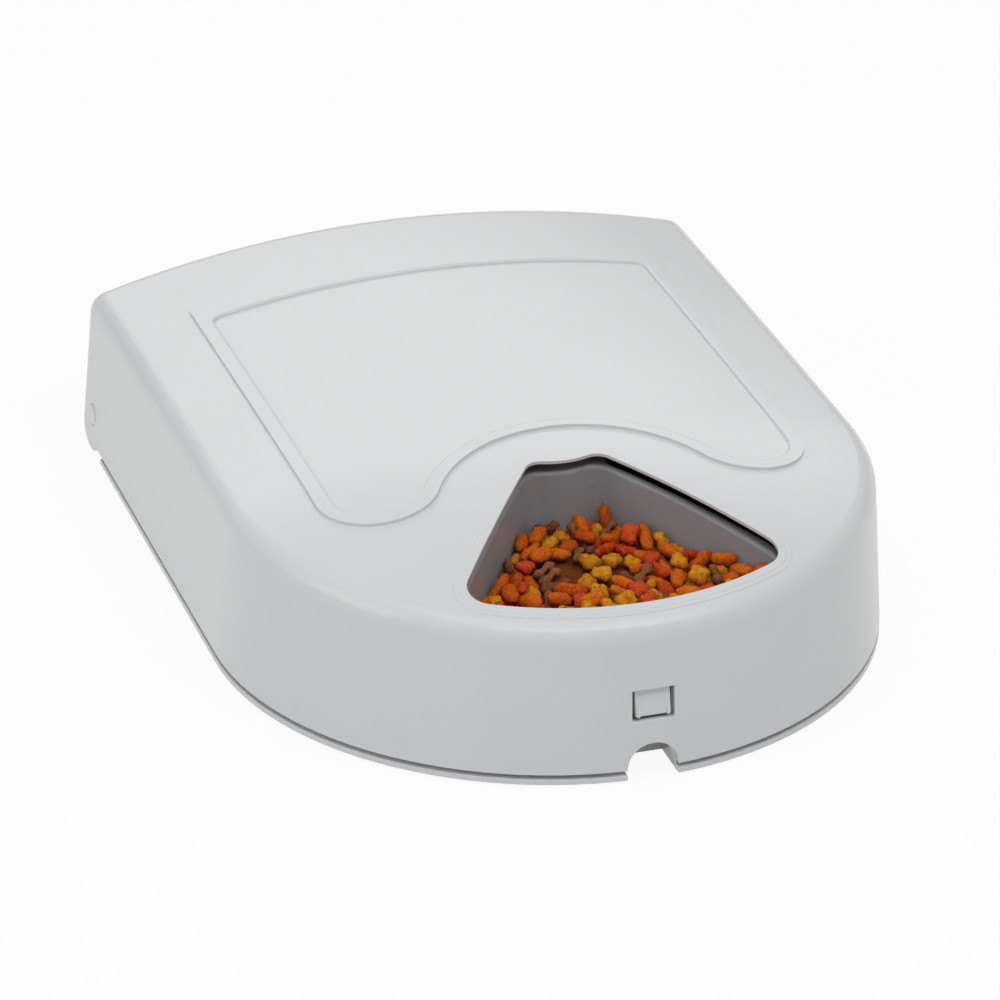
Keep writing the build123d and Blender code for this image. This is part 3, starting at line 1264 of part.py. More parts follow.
SWITCH_TOP = BOARD_TOP + 1.8
STEM_Z = SWITCH_TOP + BUTTON_TRAVEL + 0.1
with BuildPart() as tact_switches:
    with BuildSketch(level(BOARD_TOP)):
        with Locations((0, BUTTON_Y)):
            with GridLocations(BUTTON_PITCH, 1, BUTTONS, 1):
                Rectangle(6, 6)
    extrude(amount=1.3)
    with BuildSketch(level(BOARD_TOP + 1.3)):
        with Locations((0, BUTTON_Y)):
            with GridLocations(BUTTON_PITCH, 1, BUTTONS, 1):
                Circle(1.6)
    extrude(amount=0.5)
export(tact_switches, "tact_switches")

for number in range(BUTTONS):
    x = (number - (BUTTONS - 1) / 2) * BUTTON_PITCH
    with BuildPart() as button:
        with BuildSketch(level(CONSOLE_Z - CONSOLE_T - 1.4)):
            with Locations((x, BUTTON_Y)):
                Circle(BUTTON_R)
        extrude(amount=BUTTON_PROUD + CONSOLE_T + 1.4)
        fillet(button.edges().group_by(Axis.Z)[-1], 1.0)
        with BuildSketch(level(CONSOLE_Z - CONSOLE_T - 1.4)):
            with Locations((x, BUTTON_Y)):
                Circle(BUTTON_R + 1.2)
        extrude(amount=1.2)
        with BuildSketch(level(STEM_Z)):
            with Locations((x, BUTTON_Y)):
                Circle(2.0)
        extrude(amount=CONSOLE_Z - CONSOLE_T - 1.4 - STEM_Z)
    export(button, f"button_{number + 1}")

# Leads, held between the gearbox, the battery bay and the board
LEAD_R = 0.8
TIGHT_BEND = 6 * LEAD_R     # largest bend that clears the battery bay's upper edge
OVER_BAY = (BAY_TOP + BAY_T + UNDER_DECK) / 2
RISER = (WELL_R + BASE_T + BAY_FRONT - BAY_T) / 2
DECK_HOLE = CONSOLE_FRONT + 8


def lead(name, points):
    """A round lead along straight runs joined by arcs as large as the runs allow."""
    places = [Vector(*at(*point)) for point in points]
    bends = []
    for before, here, after in zip(places, places[1:], places[2:]):
        turn = (here - before).get_angle(after - here)
        shorter = min((here - before).length, (after - here).length)
        bend = 0.45 * shorter / tan(radians(turn / 2))
        bends.append(min(bend, TIGHT_BEND) if turn > 60 else bend)
    print(name, "bend radii", [round(bend, 1) for bend in bends])
    with BuildPart() as wire:
        with BuildLine() as path:
            FilletPolyline(*places, radius=bends)
        route = path.wire()
        with BuildSketch(Plane(origin=route @ 0, z_dir=route % 0)):
            Circle(LEAD_R)
        sweep(path=route)
    print(name, "volume", round(wire.part.volume, 1), "of", round(pi * LEAD_R**2 * route.length, 1))
    export(wire, name)


MOTOR_TAIL = MOTOR_AT[1] + MOTOR_R + 2.1
for name, x, drift in zip(("motor_lead_red", "motor_lead_black"), MOTOR_TERMINALS, (-0.8, 0.8)):
    lead(name, [(x, MOTOR_TAIL, MOTOR_Z + 0.9), (x + drift, MOTOR_TAIL + 30, MOTOR_Z + 3),
                (x - drift, MOTOR_TAIL + 62, MOTOR_Z + 2), (x, RISER, MOTOR_Z + 6), (x, RISER, OVER_BAY),
                (x, DECK_HOLE, OVER_BAY), (x, DECK_HOLE, BOARD_Z)])

lead("sensor_lead", [(SENSOR_X, 3.1, 8.0), (SENSOR_X - 2, 34.0, 7.0), (SENSOR_X, 66.0, 9.0),
                     (SENSOR_X - 2, 100.0, 8.0), (SENSOR_X, RISER, 12.0), (SENSOR_X, RISER, OVER_BAY),
                     (SENSOR_X, DECK_HOLE, OVER_BAY), (SENSOR_X, DECK_HOLE, BOARD_Z)])

TAIL_Y = BAY_FRONT - BAY_T - 3.0
for name, hand in (("battery_lead_red", -1), ("battery_lead_black", 1)):
    tail_x = hand * 1.5 * CELL_PITCH
    lead(name, [(tail_x, TAIL_Y, CELL_Z + 0.3), (tail_x, TAIL_Y, OVER_BAY),
                (hand * 43.0, DECK_HOLE, OVER_BAY), (hand * 43.0, DECK_HOLE, BOARD_Z)])
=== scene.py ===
"""Looks of the five-meal automatic pet feeder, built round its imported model."""

import logging
import math
import random
from dataclasses import dataclass, field
from enum import Enum
from typing import Callable, Iterable, Sequence

import bmesh
import bpy
from mathutils import Euler, Matrix, Vector


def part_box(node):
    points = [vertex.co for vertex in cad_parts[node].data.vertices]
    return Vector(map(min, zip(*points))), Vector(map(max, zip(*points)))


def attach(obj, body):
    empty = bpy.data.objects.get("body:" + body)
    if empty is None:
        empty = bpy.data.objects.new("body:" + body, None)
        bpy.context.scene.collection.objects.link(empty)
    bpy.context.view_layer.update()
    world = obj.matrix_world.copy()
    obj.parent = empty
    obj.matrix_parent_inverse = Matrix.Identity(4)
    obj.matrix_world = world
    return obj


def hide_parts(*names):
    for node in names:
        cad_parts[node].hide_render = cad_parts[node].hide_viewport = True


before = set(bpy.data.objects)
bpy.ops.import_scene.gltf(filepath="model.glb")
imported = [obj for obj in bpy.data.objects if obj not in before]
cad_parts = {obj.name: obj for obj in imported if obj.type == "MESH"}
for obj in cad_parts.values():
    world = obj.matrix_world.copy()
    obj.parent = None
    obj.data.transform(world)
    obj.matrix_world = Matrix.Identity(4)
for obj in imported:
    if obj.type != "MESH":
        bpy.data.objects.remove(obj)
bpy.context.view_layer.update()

log = logging.getLogger("feeder")
MM = 0.001
TRAY_Y = -0.048
Colour = tuple[float, float, float]


# Selecting and shaping
def clear_selection() -> None:
    """Leave edit mode and deselect every object."""
    if bpy.context.mode != "OBJECT":
        bpy.ops.object.mode_set(mode="OBJECT")
    bpy.ops.object.select_all(action="DESELECT")


def take(piece: bpy.types.Object) -> None:
    """Select one object alone and make it the active one.

    Args:
        piece: The object to select.
    """
    clear_selection()
    piece.select_set(True)
    bpy.context.view_layer.objects.active = piece


def named(name: str) -> bpy.types.Object:
    """Name the active object and its mesh.

    Args:
        name: The piece's name.

    Returns:
        The active object.
    """
    piece = bpy.context.active_object
    piece.name = name
    piece.data.name = name
    return piece


def settle(piece: bpy.types.Object) -> bpy.types.Object:
    """Put an object's place, turn and scale into its mesh.

    Args:
        piece: The object to settle.

    Returns:
        The same object.
    """
    take(piece)
    bpy.ops.object.transform_apply(location=True, rotation=True, scale=True)
    return piece


def apply_modifier(piece: bpy.types.Object, kind: str, **values: object) -> None:
    """Add one modifier, set its values and apply it.

    Args:
        piece: The object to change.
        kind: Blender's modifier type.
        **values: The modifier's settings.
    """
    take(piece)
    modifier = piece.modifiers.new(kind.lower(), kind)
    for key, value in values.items():
        setattr(modifier, key, value)
    bpy.ops.object.modifier_apply(modifier=modifier.name)


def join(pieces: Sequence[bpy.types.Object], name: str) -> bpy.types.Object:
    """Join several objects into one.

    Args:
        pieces: The objects, of which the first keeps its slots.
        name: The joined piece's name.

    Returns:
        The joined object.
    """
    clear_selection()
    for piece in pieces:
        piece.select_set(True)
    bpy.context.view_layer.objects.active = pieces[0]
    bpy.ops.object.join()
    return named(name)


def outward(piece: bpy.types.Object) -> None:
    """Merge doubled points and turn every face outwards.

    Args:
        piece: The object to tidy.
    """
    take(piece)
    bpy.ops.object.mode_set(mode="EDIT")
    bpy.ops.mesh.select_all(action="SELECT")
    bpy.ops.mesh.remove_doubles(threshold=1e-7)
    bpy.ops.mesh.normals_make_consistent(inside=False)
    bpy.ops.object.mode_set(mode="OBJECT")


def select_where(piece: bpy.types.Object, test: Callable[[Vector], bool]) -> None:
    """In edit mode, select the faces whose middle passes a test.

    Args:
        piece: The object in edit mode.
        test: Takes a face's middle and says whether it is chosen.
    """
    bpy.ops.mesh.select_mode(type="FACE")
    bpy.ops.mesh.select_all(action="DESELECT")
    mesh = bmesh.from_edit_mesh(piece.data)
    for face in mesh.faces:
        face.select = test(face.calc_center_median())
    bmesh.update_edit_mesh(piece.data)


# Node trees
class Wiring:
    """A small helper that adds nodes to a tree and links them."""

    def __init__(self, tree: bpy.types.NodeTree) -> None:
        """Take a node tree.

        Args:
            tree: The tree to add to.
        """
        self.tree = tree

    def node(self, kind: str, **values: object) -> bpy.types.Node:
        """Add a node; keys that match an input are linked or set there, others are properties.

        Args:
            kind: Blender's node type.
            **values: Inputs by name, with _ for a blank, or properties.

        Returns:
            The new node.
        """
        made = self.tree.nodes.new(kind)
        for key, value in values.items():
            if hasattr(made, key) and key not in ("color",):
                setattr(made, key, value)
        for key, value in values.items():
            if hasattr(made, key) and key not in ("color",):
                continue
            numbered = key[0] == "i" and key[1:].isdigit()
            socket = made.inputs[int(key[1:])] if numbered else made.inputs[key.replace("_", " ")]
            self.put(socket, value)
        return made

    def put(self, socket: bpy.types.NodeSocket, value: object) -> None:
        """Link an output to a socket, or set the socket's value.

        Args:
            socket: The input socket.
            value: An output socket or a constant.
        """
        if isinstance(value, bpy.types.NodeSocket):
            self.tree.links.new(value, socket)
        elif isinstance(value, tuple) and socket.type == "RGBA" and len(value) == 3:
            socket.default_value = (*value, 1.0)
        else:
            socket.default_value = value

    def maths(self, what: str, first: object, second: object = 0.0, clamp: bool = False) -> bpy.types.NodeSocket:
        """One Math node.

        Args:
            what: The operation.
            first: First value.
            second: Second value.
            clamp: Whether to clamp to 0..1.

        Returns:
            The result's socket.
        """
        return self.node("ShaderNodeMath", operation=what, use_clamp=clamp, i0=first, i1=second).outputs[0]

    def noise(self, place: object, scale: float, detail: float = 3.0, rough: float = 0.5) -> bpy.types.NodeSocket:
        """Noise at a scale given in waves per metre.

        Args:
            place: Coordinates.
            scale: Waves per metre.
            detail: Octaves.
            rough: Share of each further octave.

        Returns:
            The noise value's socket.
        """
        return self.node("ShaderNodeTexNoise", Vector=place, Scale=scale, Detail=detail, Roughness=rough).outputs["Fac"]

    def ramp(self, fac: object, stops: Sequence[tuple[float, Colour]], ease: bool = False) -> bpy.types.NodeSocket:
        """A colour ramp.

        Args:
            fac: The value that drives it.
            stops: Positions and colours.
            ease: Whether the stops blend smoothly.

        Returns:
            The colour's socket.
        """
        made = self.node("ShaderNodeValToRGB", Fac=fac)
        points = made.color_ramp.elements
        while len(points) < len(stops):
            points.new(0.5)
        for point, (where, colour) in zip(points, stops):
            point.position = where
            point.color = (*colour, 1.0)
        if ease:
            made.color_ramp.interpolation = "EASE"
        return made.outputs["Color"]

    def span(self, value: object, low: float, high: float, to_low: float, to_high: float) -> bpy.types.NodeSocket:
        """Map a value from one range to another, clamped.

        Args:
            value: The value.
            low: Start of its range.
            high: End of its range.
            to_low: Start of the new range.
            to_high: End of the new range.

        Returns:
            The mapped value's socket.
        """
        made = self.node("ShaderNodeMapRange", Value=value)
        for key, number in (("From Min", low), ("From Max", high), ("To Min", to_low), ("To Max", to_high)):
            made.inputs[key].default_value = number
        return made.outputs["Result"]

    def mix(self, fac: object, first: object, second: object, blend: str = "MIX") -> bpy.types.NodeSocket:
        """Mix two colours.

        Args:
            fac: Share of the second.
            first: First colour.
            second: Second colour.
            blend: Blend type.

        Returns:
            The mixed colour's socket.
        """
        made = self.node("ShaderNodeMix", data_type="RGBA", blend_type=blend)
        self.put(made.inputs[0], fac)
        self.put(made.inputs[6], first)
        self.put(made.inputs[7], second)
        return made.outputs[2]


def start_group(name: str, inputs: Iterable[tuple[str, str, float]], outputs: Iterable[tuple[str, str]]
                ) -> tuple[bpy.types.NodeTree, Wiring, bpy.types.Node, bpy.types.Node]:
    """Start a shader node group with named sockets.

    Args:
        name: The group's name.
        inputs: Each input's name, kind and default.
        outputs: Each output's name and kind.

    Returns:
        The group, its wiring, and its input and output nodes.
    """
    group = bpy.data.node_groups.new(name, "ShaderNodeTree")
    for label, kind, value in inputs:
        socket = group.interface.new_socket(label, in_out="INPUT", socket_type=kind)
        if kind == "NodeSocketFloat":
            socket.default_value = value
    for label, kind in outputs:
        group.interface.new_socket(label, in_out="OUTPUT", socket_type=kind)
    wiring = Wiring(group)
    return group, wiring, wiring.node("NodeGroupInput"), wiring.node("NodeGroupOutput")


def build_grain_group() -> bpy.types.NodeTree:
    """Fine moulded grain: a height and a slow gloss change.

    Returns:
        The node group.
    """
    group, w, given, result = start_group(
        "moulded_grain",
        [("Place", "NodeSocketVector", 0), ("Grain", "NodeSocketFloat", 2600.0), ("Depth", "NodeSocketFloat", 1.0),
         ("Gloss", "NodeSocketFloat", 0.45), ("Spread", "NodeSocketFloat", 0.06)],
        [("Height", "NodeSocketFloat"), ("Roughness", "NodeSocketFloat"), ("Cloud", "NodeSocketFloat")])
    fine = w.node("ShaderNodeTexNoise", Vector=given.outputs["Place"], Scale=given.outputs["Grain"], Detail=2.0).outputs["Fac"]
    pits = w.node("ShaderNodeTexVoronoi", Vector=given.outputs["Place"], Scale=given.outputs["Grain"]).outputs["Distance"]
    both = w.maths("ADD", fine, w.maths("MULTIPLY", pits, 0.5))
    slow = w.noise(given.outputs["Place"], 14.0, 4.0, 0.6)
    centred = w.maths("SUBTRACT", slow, 0.5)
    streak = w.noise(given.outputs["Place"], 160.0, 3.0, 0.6)
    spread = w.maths("MULTIPLY", w.maths("ADD", centred, w.maths("MULTIPLY", w.maths("SUBTRACT", streak, 0.5), 0.6)), given.outputs["Spread"])
    w.put(result.inputs["Height"], w.maths("MULTIPLY", both, given.outputs["Depth"]))
    w.put(result.inputs["Roughness"], w.maths("ADD", given.outputs["Gloss"], spread))
    w.put(result.inputs["Cloud"], slow)
    return group


def build_wear_and_highlight_group() -> bpy.types.NodeTree:
    """A mask of outer edges, broken up by noise, that lightens them: partly wear, partly a painted highlight along the
    edges.

    Returns:
        The node group.
    """
    group, w, given, result = start_group(
        "edge_wear_and_highlight",
        [("Place", "NodeSocketVector", 0), ("Width", "NodeSocketFloat", 0.0006), ("Amount", "NodeSocketFloat", 0.5)],
        [("Mask", "NodeSocketFloat")])
    rounded = w.node("ShaderNodeBevel", samples=4, Radius=given.outputs["Width"]).outputs["Normal"]
    plain = w.node("ShaderNodeNewGeometry").outputs["Normal"]
    agree = w.node("ShaderNodeVectorMath", operation="DOT_PRODUCT", i0=rounded, i1=plain).outputs["Value"]
    edge = w.span(agree, 0.995, 0.90, 0.0, 1.0)
    broken = w.span(w.noise(given.outputs["Place"], 420.0, 4.0, 0.65), 0.38, 0.62, 0.15, 1.0)
    w.put(result.inputs["Mask"], w.maths("MULTIPLY", w.maths("MULTIPLY", edge, broken), given.outputs["Amount"], True))
    return group


def build_dust_group() -> bpy.types.NodeTree:
    """A mask of fine dust that lies on faces turned upwards.

    Returns:
        The node group.
    """
    group, w, given, result = start_group(
        "settled_dust",
        [("Place", "NodeSocketVector", 0), ("Amount", "NodeSocketFloat", 0.2)],
        [("Mask", "NodeSocketFloat")])
    up = w.node("ShaderNodeSeparateXYZ", Vector=w.node("ShaderNodeNewGeometry").outputs["Normal"]).outputs["Z"]
    flat = w.span(up, 0.55, 1.0, 0.0, 1.0)
    specks = w.span(w.noise(given.outputs["Place"], 900.0, 3.0, 0.7), 0.45, 0.8, 0.0, 1.0)
    w.put(result.inputs["Mask"], w.maths("MULTIPLY", w.maths("MULTIPLY", flat, specks), given.outputs["Amount"], True))
    return group


GROUPS = {"grain": build_grain_group(), "wear_and_highlight": build_wear_and_highlight_group(), "dust": build_dust_group()}


def new_material(name: str) -> tuple[bpy.types.Material, Wiring, bpy.types.Node, bpy.types.NodeSocket]:
    """A material with its shader and Object coordinates.

    Args:
        name: The material's name.

    Returns:
        The material, its wiring, its Principled shader and the coordinates' socket.
    """
    material = bpy.data.materials.new(name)
    material.use_nodes = True
    material.node_tree.nodes.clear()
    w = Wiring(material.node_tree)
    shader = w.node("ShaderNodeBsdfPrincipled")
    w.node("ShaderNodeOutputMaterial", Surface=shader.outputs["BSDF"])
    return material, w, shader, w.node("ShaderNodeTexCoord").outputs["Object"]


def grouped(w: Wiring, which: str, **values: object) -> bpy.types.Node:
    """Place one of the shared groups.

    Args:
        w: The material's wiring.
        which: The group's key.
        **values: The group's inputs.

    Returns:
        The group node.
    """
    made = w.tree.nodes.new("ShaderNodeGroup")
    made.node_tree = GROUPS[which]
    for key, value in values.items():
        w.put(made.inputs[key], value)
    return made


def bump(w: Wiring, shader: bpy.types.Node, height: bpy.types.NodeSocket, distance: float, strength: float = 1.0) -> None:
    """Feed a height to the shader's normal.

    Args:
        w: The material's wiring.
        shader: The Principled shader.
        height: The height's socket.
        distance: Height of one unit, in metres.
        strength: Share of the effect.
    """
    made = w.node("ShaderNodeBump", Height=height, Distance=distance, Strength=strength)
    w.put(shader.inputs["Normal"], made.outputs["Normal"])


# Finishes
@dataclass(frozen=True)
class MouldedPlastic:
    """Injection-moulded plastic with a fine grain, gloss clouds, and lighter outer edges that are partly wear and
    partly a painted highlight.
    """

    name: str
    colour: Colour
    gloss: float = 0.45
    grain: float = 2600.0
    depth: float = 0.00001
    spread: float = 0.08
    shade: float = 0.03
    wear_and_highlight_amount: float = 0.25
    dust: float = 0.1
    specular: float = 0.4

    def build(self) -> bpy.types.Material:
        """Make the material.

        Returns:
            The material.
        """
        material, w, shader, place = new_material(self.name)
        grain = grouped(w, "grain", Place=place, Grain=self.grain, Gloss=self.gloss, Spread=self.spread)
        wear_and_highlight = grouped(w, "wear_and_highlight", Place=place, Amount=self.wear_and_highlight_amount)
        dust = grouped(w, "dust", Place=place, Amount=self.dust)
        low = tuple(max(part * (1 - self.shade), 0.0) for part in self.colour)
        high = tuple(min(part * (1 + self.shade), 1.0) for part in self.colour)
        base = w.ramp(grain.outputs["Cloud"], [(0.3, low), (0.7, high)])
        # Outer edges lightened by the mask: partly wear, partly a painted edge highlight.
        rubbed_and_lit = tuple(min(part * 1.18 + 0.03, 1.0) for part in self.colour)
        base = w.mix(wear_and_highlight.outputs["Mask"], base, rubbed_and_lit)
        base = w.mix(dust.outputs["Mask"], base, (0.62, 0.60, 0.57))
        w.put(shader.inputs["Base Color"], base)
        w.put(shader.inputs["Roughness"], w.maths("ADD", grain.outputs["Roughness"], w.maths("MULTIPLY", dust.outputs["Mask"], 0.2)))
        shader.inputs["Specular IOR Level"].default_value = self.specular
        bump(w, shader, grain.outputs["Height"], self.depth)
        return material


@dataclass(frozen=True)
class Metal:
    """Bare or plated metal with fine scratches along one direction."""

    name: str
    colour: Colour
    gloss: float = 0.32
    stretch: tuple[float, float, float] = (1.0, 1.0, 14.0)
    tarnish: Colour = (0.35, 0.32, 0.28)
    tarnished: float = 0.25

    def build(self) -> bpy.types.Material:
        """Make the material.

        Returns:
            The material.
        """
        material, w, shader, place = new_material(self.name)
        drawn = w.node("ShaderNodeMapping", Vector=place, Scale=self.stretch).outputs["Vector"]
        scratch = w.noise(drawn, 1400.0, 4.0, 0.65)
        spots = w.span(w.noise(place, 260.0, 5.0, 0.7), 0.5, 0.75, 0.0, self.tarnished)
        wear_and_highlight = grouped(w, "wear_and_highlight", Place=place, Amount=0.5)
        base = w.mix(spots, self.colour, self.tarnish)
        # Outer edges lightened by the mask: partly wear, partly a painted edge highlight.
        base = w.mix(wear_and_highlight.outputs["Mask"], base, tuple(min(part * 1.2, 1.0) for part in self.colour))
        w.put(shader.inputs["Base Color"], base)
        shader.inputs["Metallic"].default_value = 1.0
        w.put(shader.inputs["Roughness"], w.span(scratch, 0.3, 0.7, self.gloss - 0.08, self.gloss + 0.12))
        bump(w, shader, scratch, 0.000004)
        return material


@dataclass(frozen=True)
class Rubber:
    """Soft black rubber, slightly chalky."""

    name: str
    colour: Colour

    def build(self) -> bpy.types.Material:
        """Make the material.

        Returns:
            The material.
        """
        material, w, shader, place = new_material(self.name)
        grain = grouped(w, "grain", Place=place, Grain=1800.0, Gloss=0.72, Spread=0.12)
        chalk = w.span(w.noise(place, 220.0, 4.0, 0.6), 0.45, 0.75, 0.0, 0.35)
        w.put(shader.inputs["Base Color"], w.mix(chalk, self.colour, tuple(part * 1.8 + 0.02 for part in self.colour)))
        w.put(shader.inputs["Roughness"], grain.outputs["Roughness"])
        bump(w, shader, grain.outputs["Height"], 0.00002)
        return material


@dataclass(frozen=True)
class BoardLaminate:
    """Green laminate with faint copper tracks under the mask."""

    name: str = "board_laminate"

    def build(self) -> bpy.types.Material:
        """Make the material.

        Returns:
            The material.
        """
        material, w, shader, place = new_material(self.name)
        cells = w.node("ShaderNodeTexBrick", Vector=place, Scale=60.0, Mortar_Size=0.03)
        cells.inputs["Color1"].default_value = (0, 0, 0, 1)
        cells.inputs["Color2"].default_value = (0.25, 0.25, 0.25, 1)
        cells.inputs["Mortar"].default_value = (1, 1, 1, 1)
        cloud = w.noise(place, 90.0, 3.0)
        base = w.mix(cells.outputs["Color"], (0.012, 0.085, 0.035), (0.03, 0.20, 0.07))
        base = w.mix(w.span(cloud, 0.4, 0.7, 0.0, 0.25), base, (0.02, 0.12, 0.05))
        w.put(shader.inputs["Base Color"], base)
        w.put(shader.inputs["Roughness"], w.span(cloud, 0.3, 0.7, 0.22, 0.38))
        bump(w, shader, cells.outputs["Fac"], 0.00003)
        return material


@dataclass(frozen=True)
class ClearLens:
    """Clear moulded window over the display."""

    name: str = "lens_clear"

    def build(self) -> bpy.types.Material:
        """Make the material.

        Returns:
            The material.
        """
        material, w, shader, place = new_material(self.name)
        smear = w.noise(place, 60.0, 4.0, 0.6)
        w.put(shader.inputs["Base Color"], w.ramp(smear, [(0.3, (0.86, 0.89, 0.89)), (0.7, (0.92, 0.94, 0.94))]))
        w.put(shader.inputs["Roughness"], w.span(smear, 0.35, 0.75, 0.03, 0.12))
        shader.inputs["Transmission Weight"].default_value = 0.92
        shader.inputs["IOR"].default_value = 1.49
        return material


@dataclass(frozen=True)
class DisplayGlass:
    """Grey-green display glass with a darker border."""

    name: str = "display_glass"
    middle: tuple[float, float] = (0.0, 0.155)
    half: tuple[float, float] = (0.0265, 0.0085)

    def build(self) -> bpy.types.Material:
        """Make the material.

        Returns:
            The material.
        """
        material, w, shader, place = new_material(self.name)
        parts = w.node("ShaderNodeSeparateXYZ", Vector=place)
        across = w.maths("ABSOLUTE", w.maths("SUBTRACT", parts.outputs["X"], self.middle[0]))
        along = w.maths("ABSOLUTE", w.maths("SUBTRACT", parts.outputs["Y"], self.middle[1]))
        outside = w.maths("MAXIMUM", w.maths("SUBTRACT", across, self.half[0]), w.maths("SUBTRACT", along, self.half[1]))
        border = w.span(outside, 0.0, 0.0006, 0.0, 1.0)
        cloud = w.noise(place, 45.0, 3.0)
        panel = w.ramp(cloud, [(0.3, (0.40, 0.46, 0.37)), (0.7, (0.46, 0.51, 0.42))])
        w.put(shader.inputs["Base Color"], w.mix(border, panel, (0.04, 0.04, 0.045)))
        w.put(shader.inputs["Roughness"], w.span(cloud, 0.3, 0.7, 0.10, 0.2))
        return material


@dataclass(frozen=True)
class CellJacket:
    """Battery sleeve with a coloured band at one end, and metal ends."""

    name: str
    front: float
    rear: float
    band_in_front: bool
    colour: Colour = (0.030, 0.032, 0.036)
    band: Colour = (0.48, 0.27, 0.06)

    def build(self) -> bpy.types.Material:
        """Make the material.

        Returns:
            The material.
        """
        material, w, shader, place = new_material(self.name)
        y = w.node("ShaderNodeSeparateXYZ", Vector=place).outputs["Y"]
        turn = w.node("ShaderNodeSeparateXYZ", Vector=w.node("ShaderNodeNewGeometry").outputs["Normal"]).outputs["Y"]
        end = w.maths("GREATER_THAN", w.maths("ABSOLUTE", turn), 0.9)
        edge = self.front + 0.014 if self.band_in_front else self.rear - 0.014
        banded = w.maths("LESS_THAN" if self.band_in_front else "GREATER_THAN", y, edge)
        grain = grouped(w, "grain", Place=place, Grain=900.0, Gloss=0.28, Spread=0.14)
        base = w.mix(banded, self.colour, self.band)
        metal = w.maths("MAXIMUM", end, w.maths("MAXIMUM", w.maths("LESS_THAN", y, self.front), w.maths("GREATER_THAN", y, self.rear)))
        w.put(shader.inputs["Base Color"], w.mix(metal, base, (0.62, 0.61, 0.58)))
        w.put(shader.inputs["Metallic"], metal)
        w.put(shader.inputs["Roughness"], grain.outputs["Roughness"])
        bump(w, shader, grain.outputs["Height"], 0.000008)
        return material


@dataclass(frozen=True)
class BakedKibble:
    """Baked dry food: rough, speckled, with darker browned spots and very dark recessed pits that are partly browning
    and partly painted shade; tint varies by piece.
    """

    name: str
    dark: Colour
    light: Colour
    speckle: Colour

    def build(self) -> bpy.types.Material:
        """Make the material.

        Returns:
            The material.
        """
        material, w, shader, place = new_material(self.name)
        tint = w.node("ShaderNodeAttribute", attribute_name="tint").outputs["Fac"]
        crumb = w.noise(place, 900.0, 7.0, 0.82)
        patch = w.noise(place, 210.0, 4.0, 0.6)
        grit = w.node("ShaderNodeTexVoronoi", Vector=place, Scale=1900.0).outputs["Distance"]
        base = w.ramp(w.maths("ADD", w.maths("MULTIPLY", patch, 0.6), w.maths("MULTIPLY", tint, 0.4)),
                      [(0.25, self.dark), (0.72, self.light)])
        # Darkens the low points of the bump: partly browning, partly painted shade in the pits.
        pits = w.span(crumb, 0.50, 0.38, 0.0, 0.85)
        base = w.mix(pits, base, tuple(part * 0.30 for part in self.dark))
        flecks = w.maths("MULTIPLY", w.span(grit, 0.30, 0.12, 0.0, 1.0), w.span(crumb, 0.48, 0.60, 0.0, 0.85))
        base = w.mix(flecks, base, self.speckle)
        w.put(shader.inputs["Base Color"], base)
        w.put(shader.inputs["Roughness"], w.span(crumb, 0.3, 0.7, 0.55, 0.85))
        shader.inputs["Specular IOR Level"].default_value = 0.18
        height = w.maths("ADD", crumb, w.maths("MULTIPLY", patch, 1.2))
        bump(w, shader, height, 0.0011)
        return material


class Finish(Enum):
    """Every plain finish on the feeder, with the nodes that carry it."""

    SHELL = MouldedPlastic("shell_plastic", (0.665, 0.675, 0.682), gloss=0.26, grain=2400.0,
                           depth=0.000012, spread=0.025, shade=0.015, wear_and_highlight_amount=0.12, dust=0.02)
    UNDER = MouldedPlastic("under_plastic", (0.470, 0.478, 0.482), gloss=0.55, grain=1600.0, depth=0.00003, dust=0.0)
    TRAY = MouldedPlastic("tray_plastic", (0.292, 0.306, 0.325), gloss=0.27, grain=3000.0,
                          depth=0.000008, spread=0.025, shade=0.02, wear_and_highlight_amount=0.1, dust=0.008)
    CONSOLE = MouldedPlastic("console_plastic", (0.060, 0.062, 0.066), gloss=0.5, grain=1500.0, depth=0.00003)
    BUTTON = MouldedPlastic("button_plastic", (0.42, 0.43, 0.435), gloss=0.38)
    DARK = MouldedPlastic("dark_plastic", (0.016, 0.016, 0.018), gloss=0.42)
    FRAME = MouldedPlastic("frame_plastic", (0.024, 0.024, 0.026), gloss=0.55)
    GEAR = MouldedPlastic("gear_plastic", (0.72, 0.70, 0.62), gloss=0.36, dust=0.0)
    RUBBER = Rubber("foot_rubber", (0.02, 0.02, 0.021))
    SCREW = Metal("screw_steel", (0.50, 0.50, 0.50))
    AXLE = Metal("axle_steel", (0.62, 0.62, 0.62), gloss=0.2)
    MOTOR = Metal("motor_steel", (0.56, 0.56, 0.55), stretch=(1.0, 1.0, 6.0))
    BRASS = Metal("gear_brass", (0.62, 0.44, 0.18), gloss=0.25, tarnish=(0.30, 0.20, 0.08))
    CONTACT = Metal("contact_metal", (0.66, 0.64, 0.58), gloss=0.22)
    BOARD = BoardLaminate()
    LENS = ClearLens()
    DISPLAY = DisplayGlass()
    RED = Rubber("lead_red", (0.42, 0.02, 0.015))
    BLACK = Rubber("lead_black", (0.015, 0.015, 0.015))
    GREY = Rubber("lead_grey", (0.16, 0.16, 0.165))


@dataclass
class Wardrobe:
    """Makes each finish once and puts it on CAD nodes."""

    made: dict[str, bpy.types.Material] = field(default_factory=dict)

    def get(self, finish: Finish) -> bpy.types.Material:
        """The material of a finish, made at its first use.

        Args:
            finish: The finish.

        Returns:
            Its material.
        """
        if finish.name not in self.made:
            self.made[finish.name] = finish.value.build()
        return self.made[finish.name]

    def dress(self, node: str, material: bpy.types.Material) -> None:
        """Give a CAD node one material.

        Args:
            node: The node's name.
            material: The material.
        """
        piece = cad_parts[node]
        piece.data.materials.clear()
        piece.data.materials.append(material)
        log.info("dressed %s in %s", node, material.name)


WARDROBE = Wardrobe()


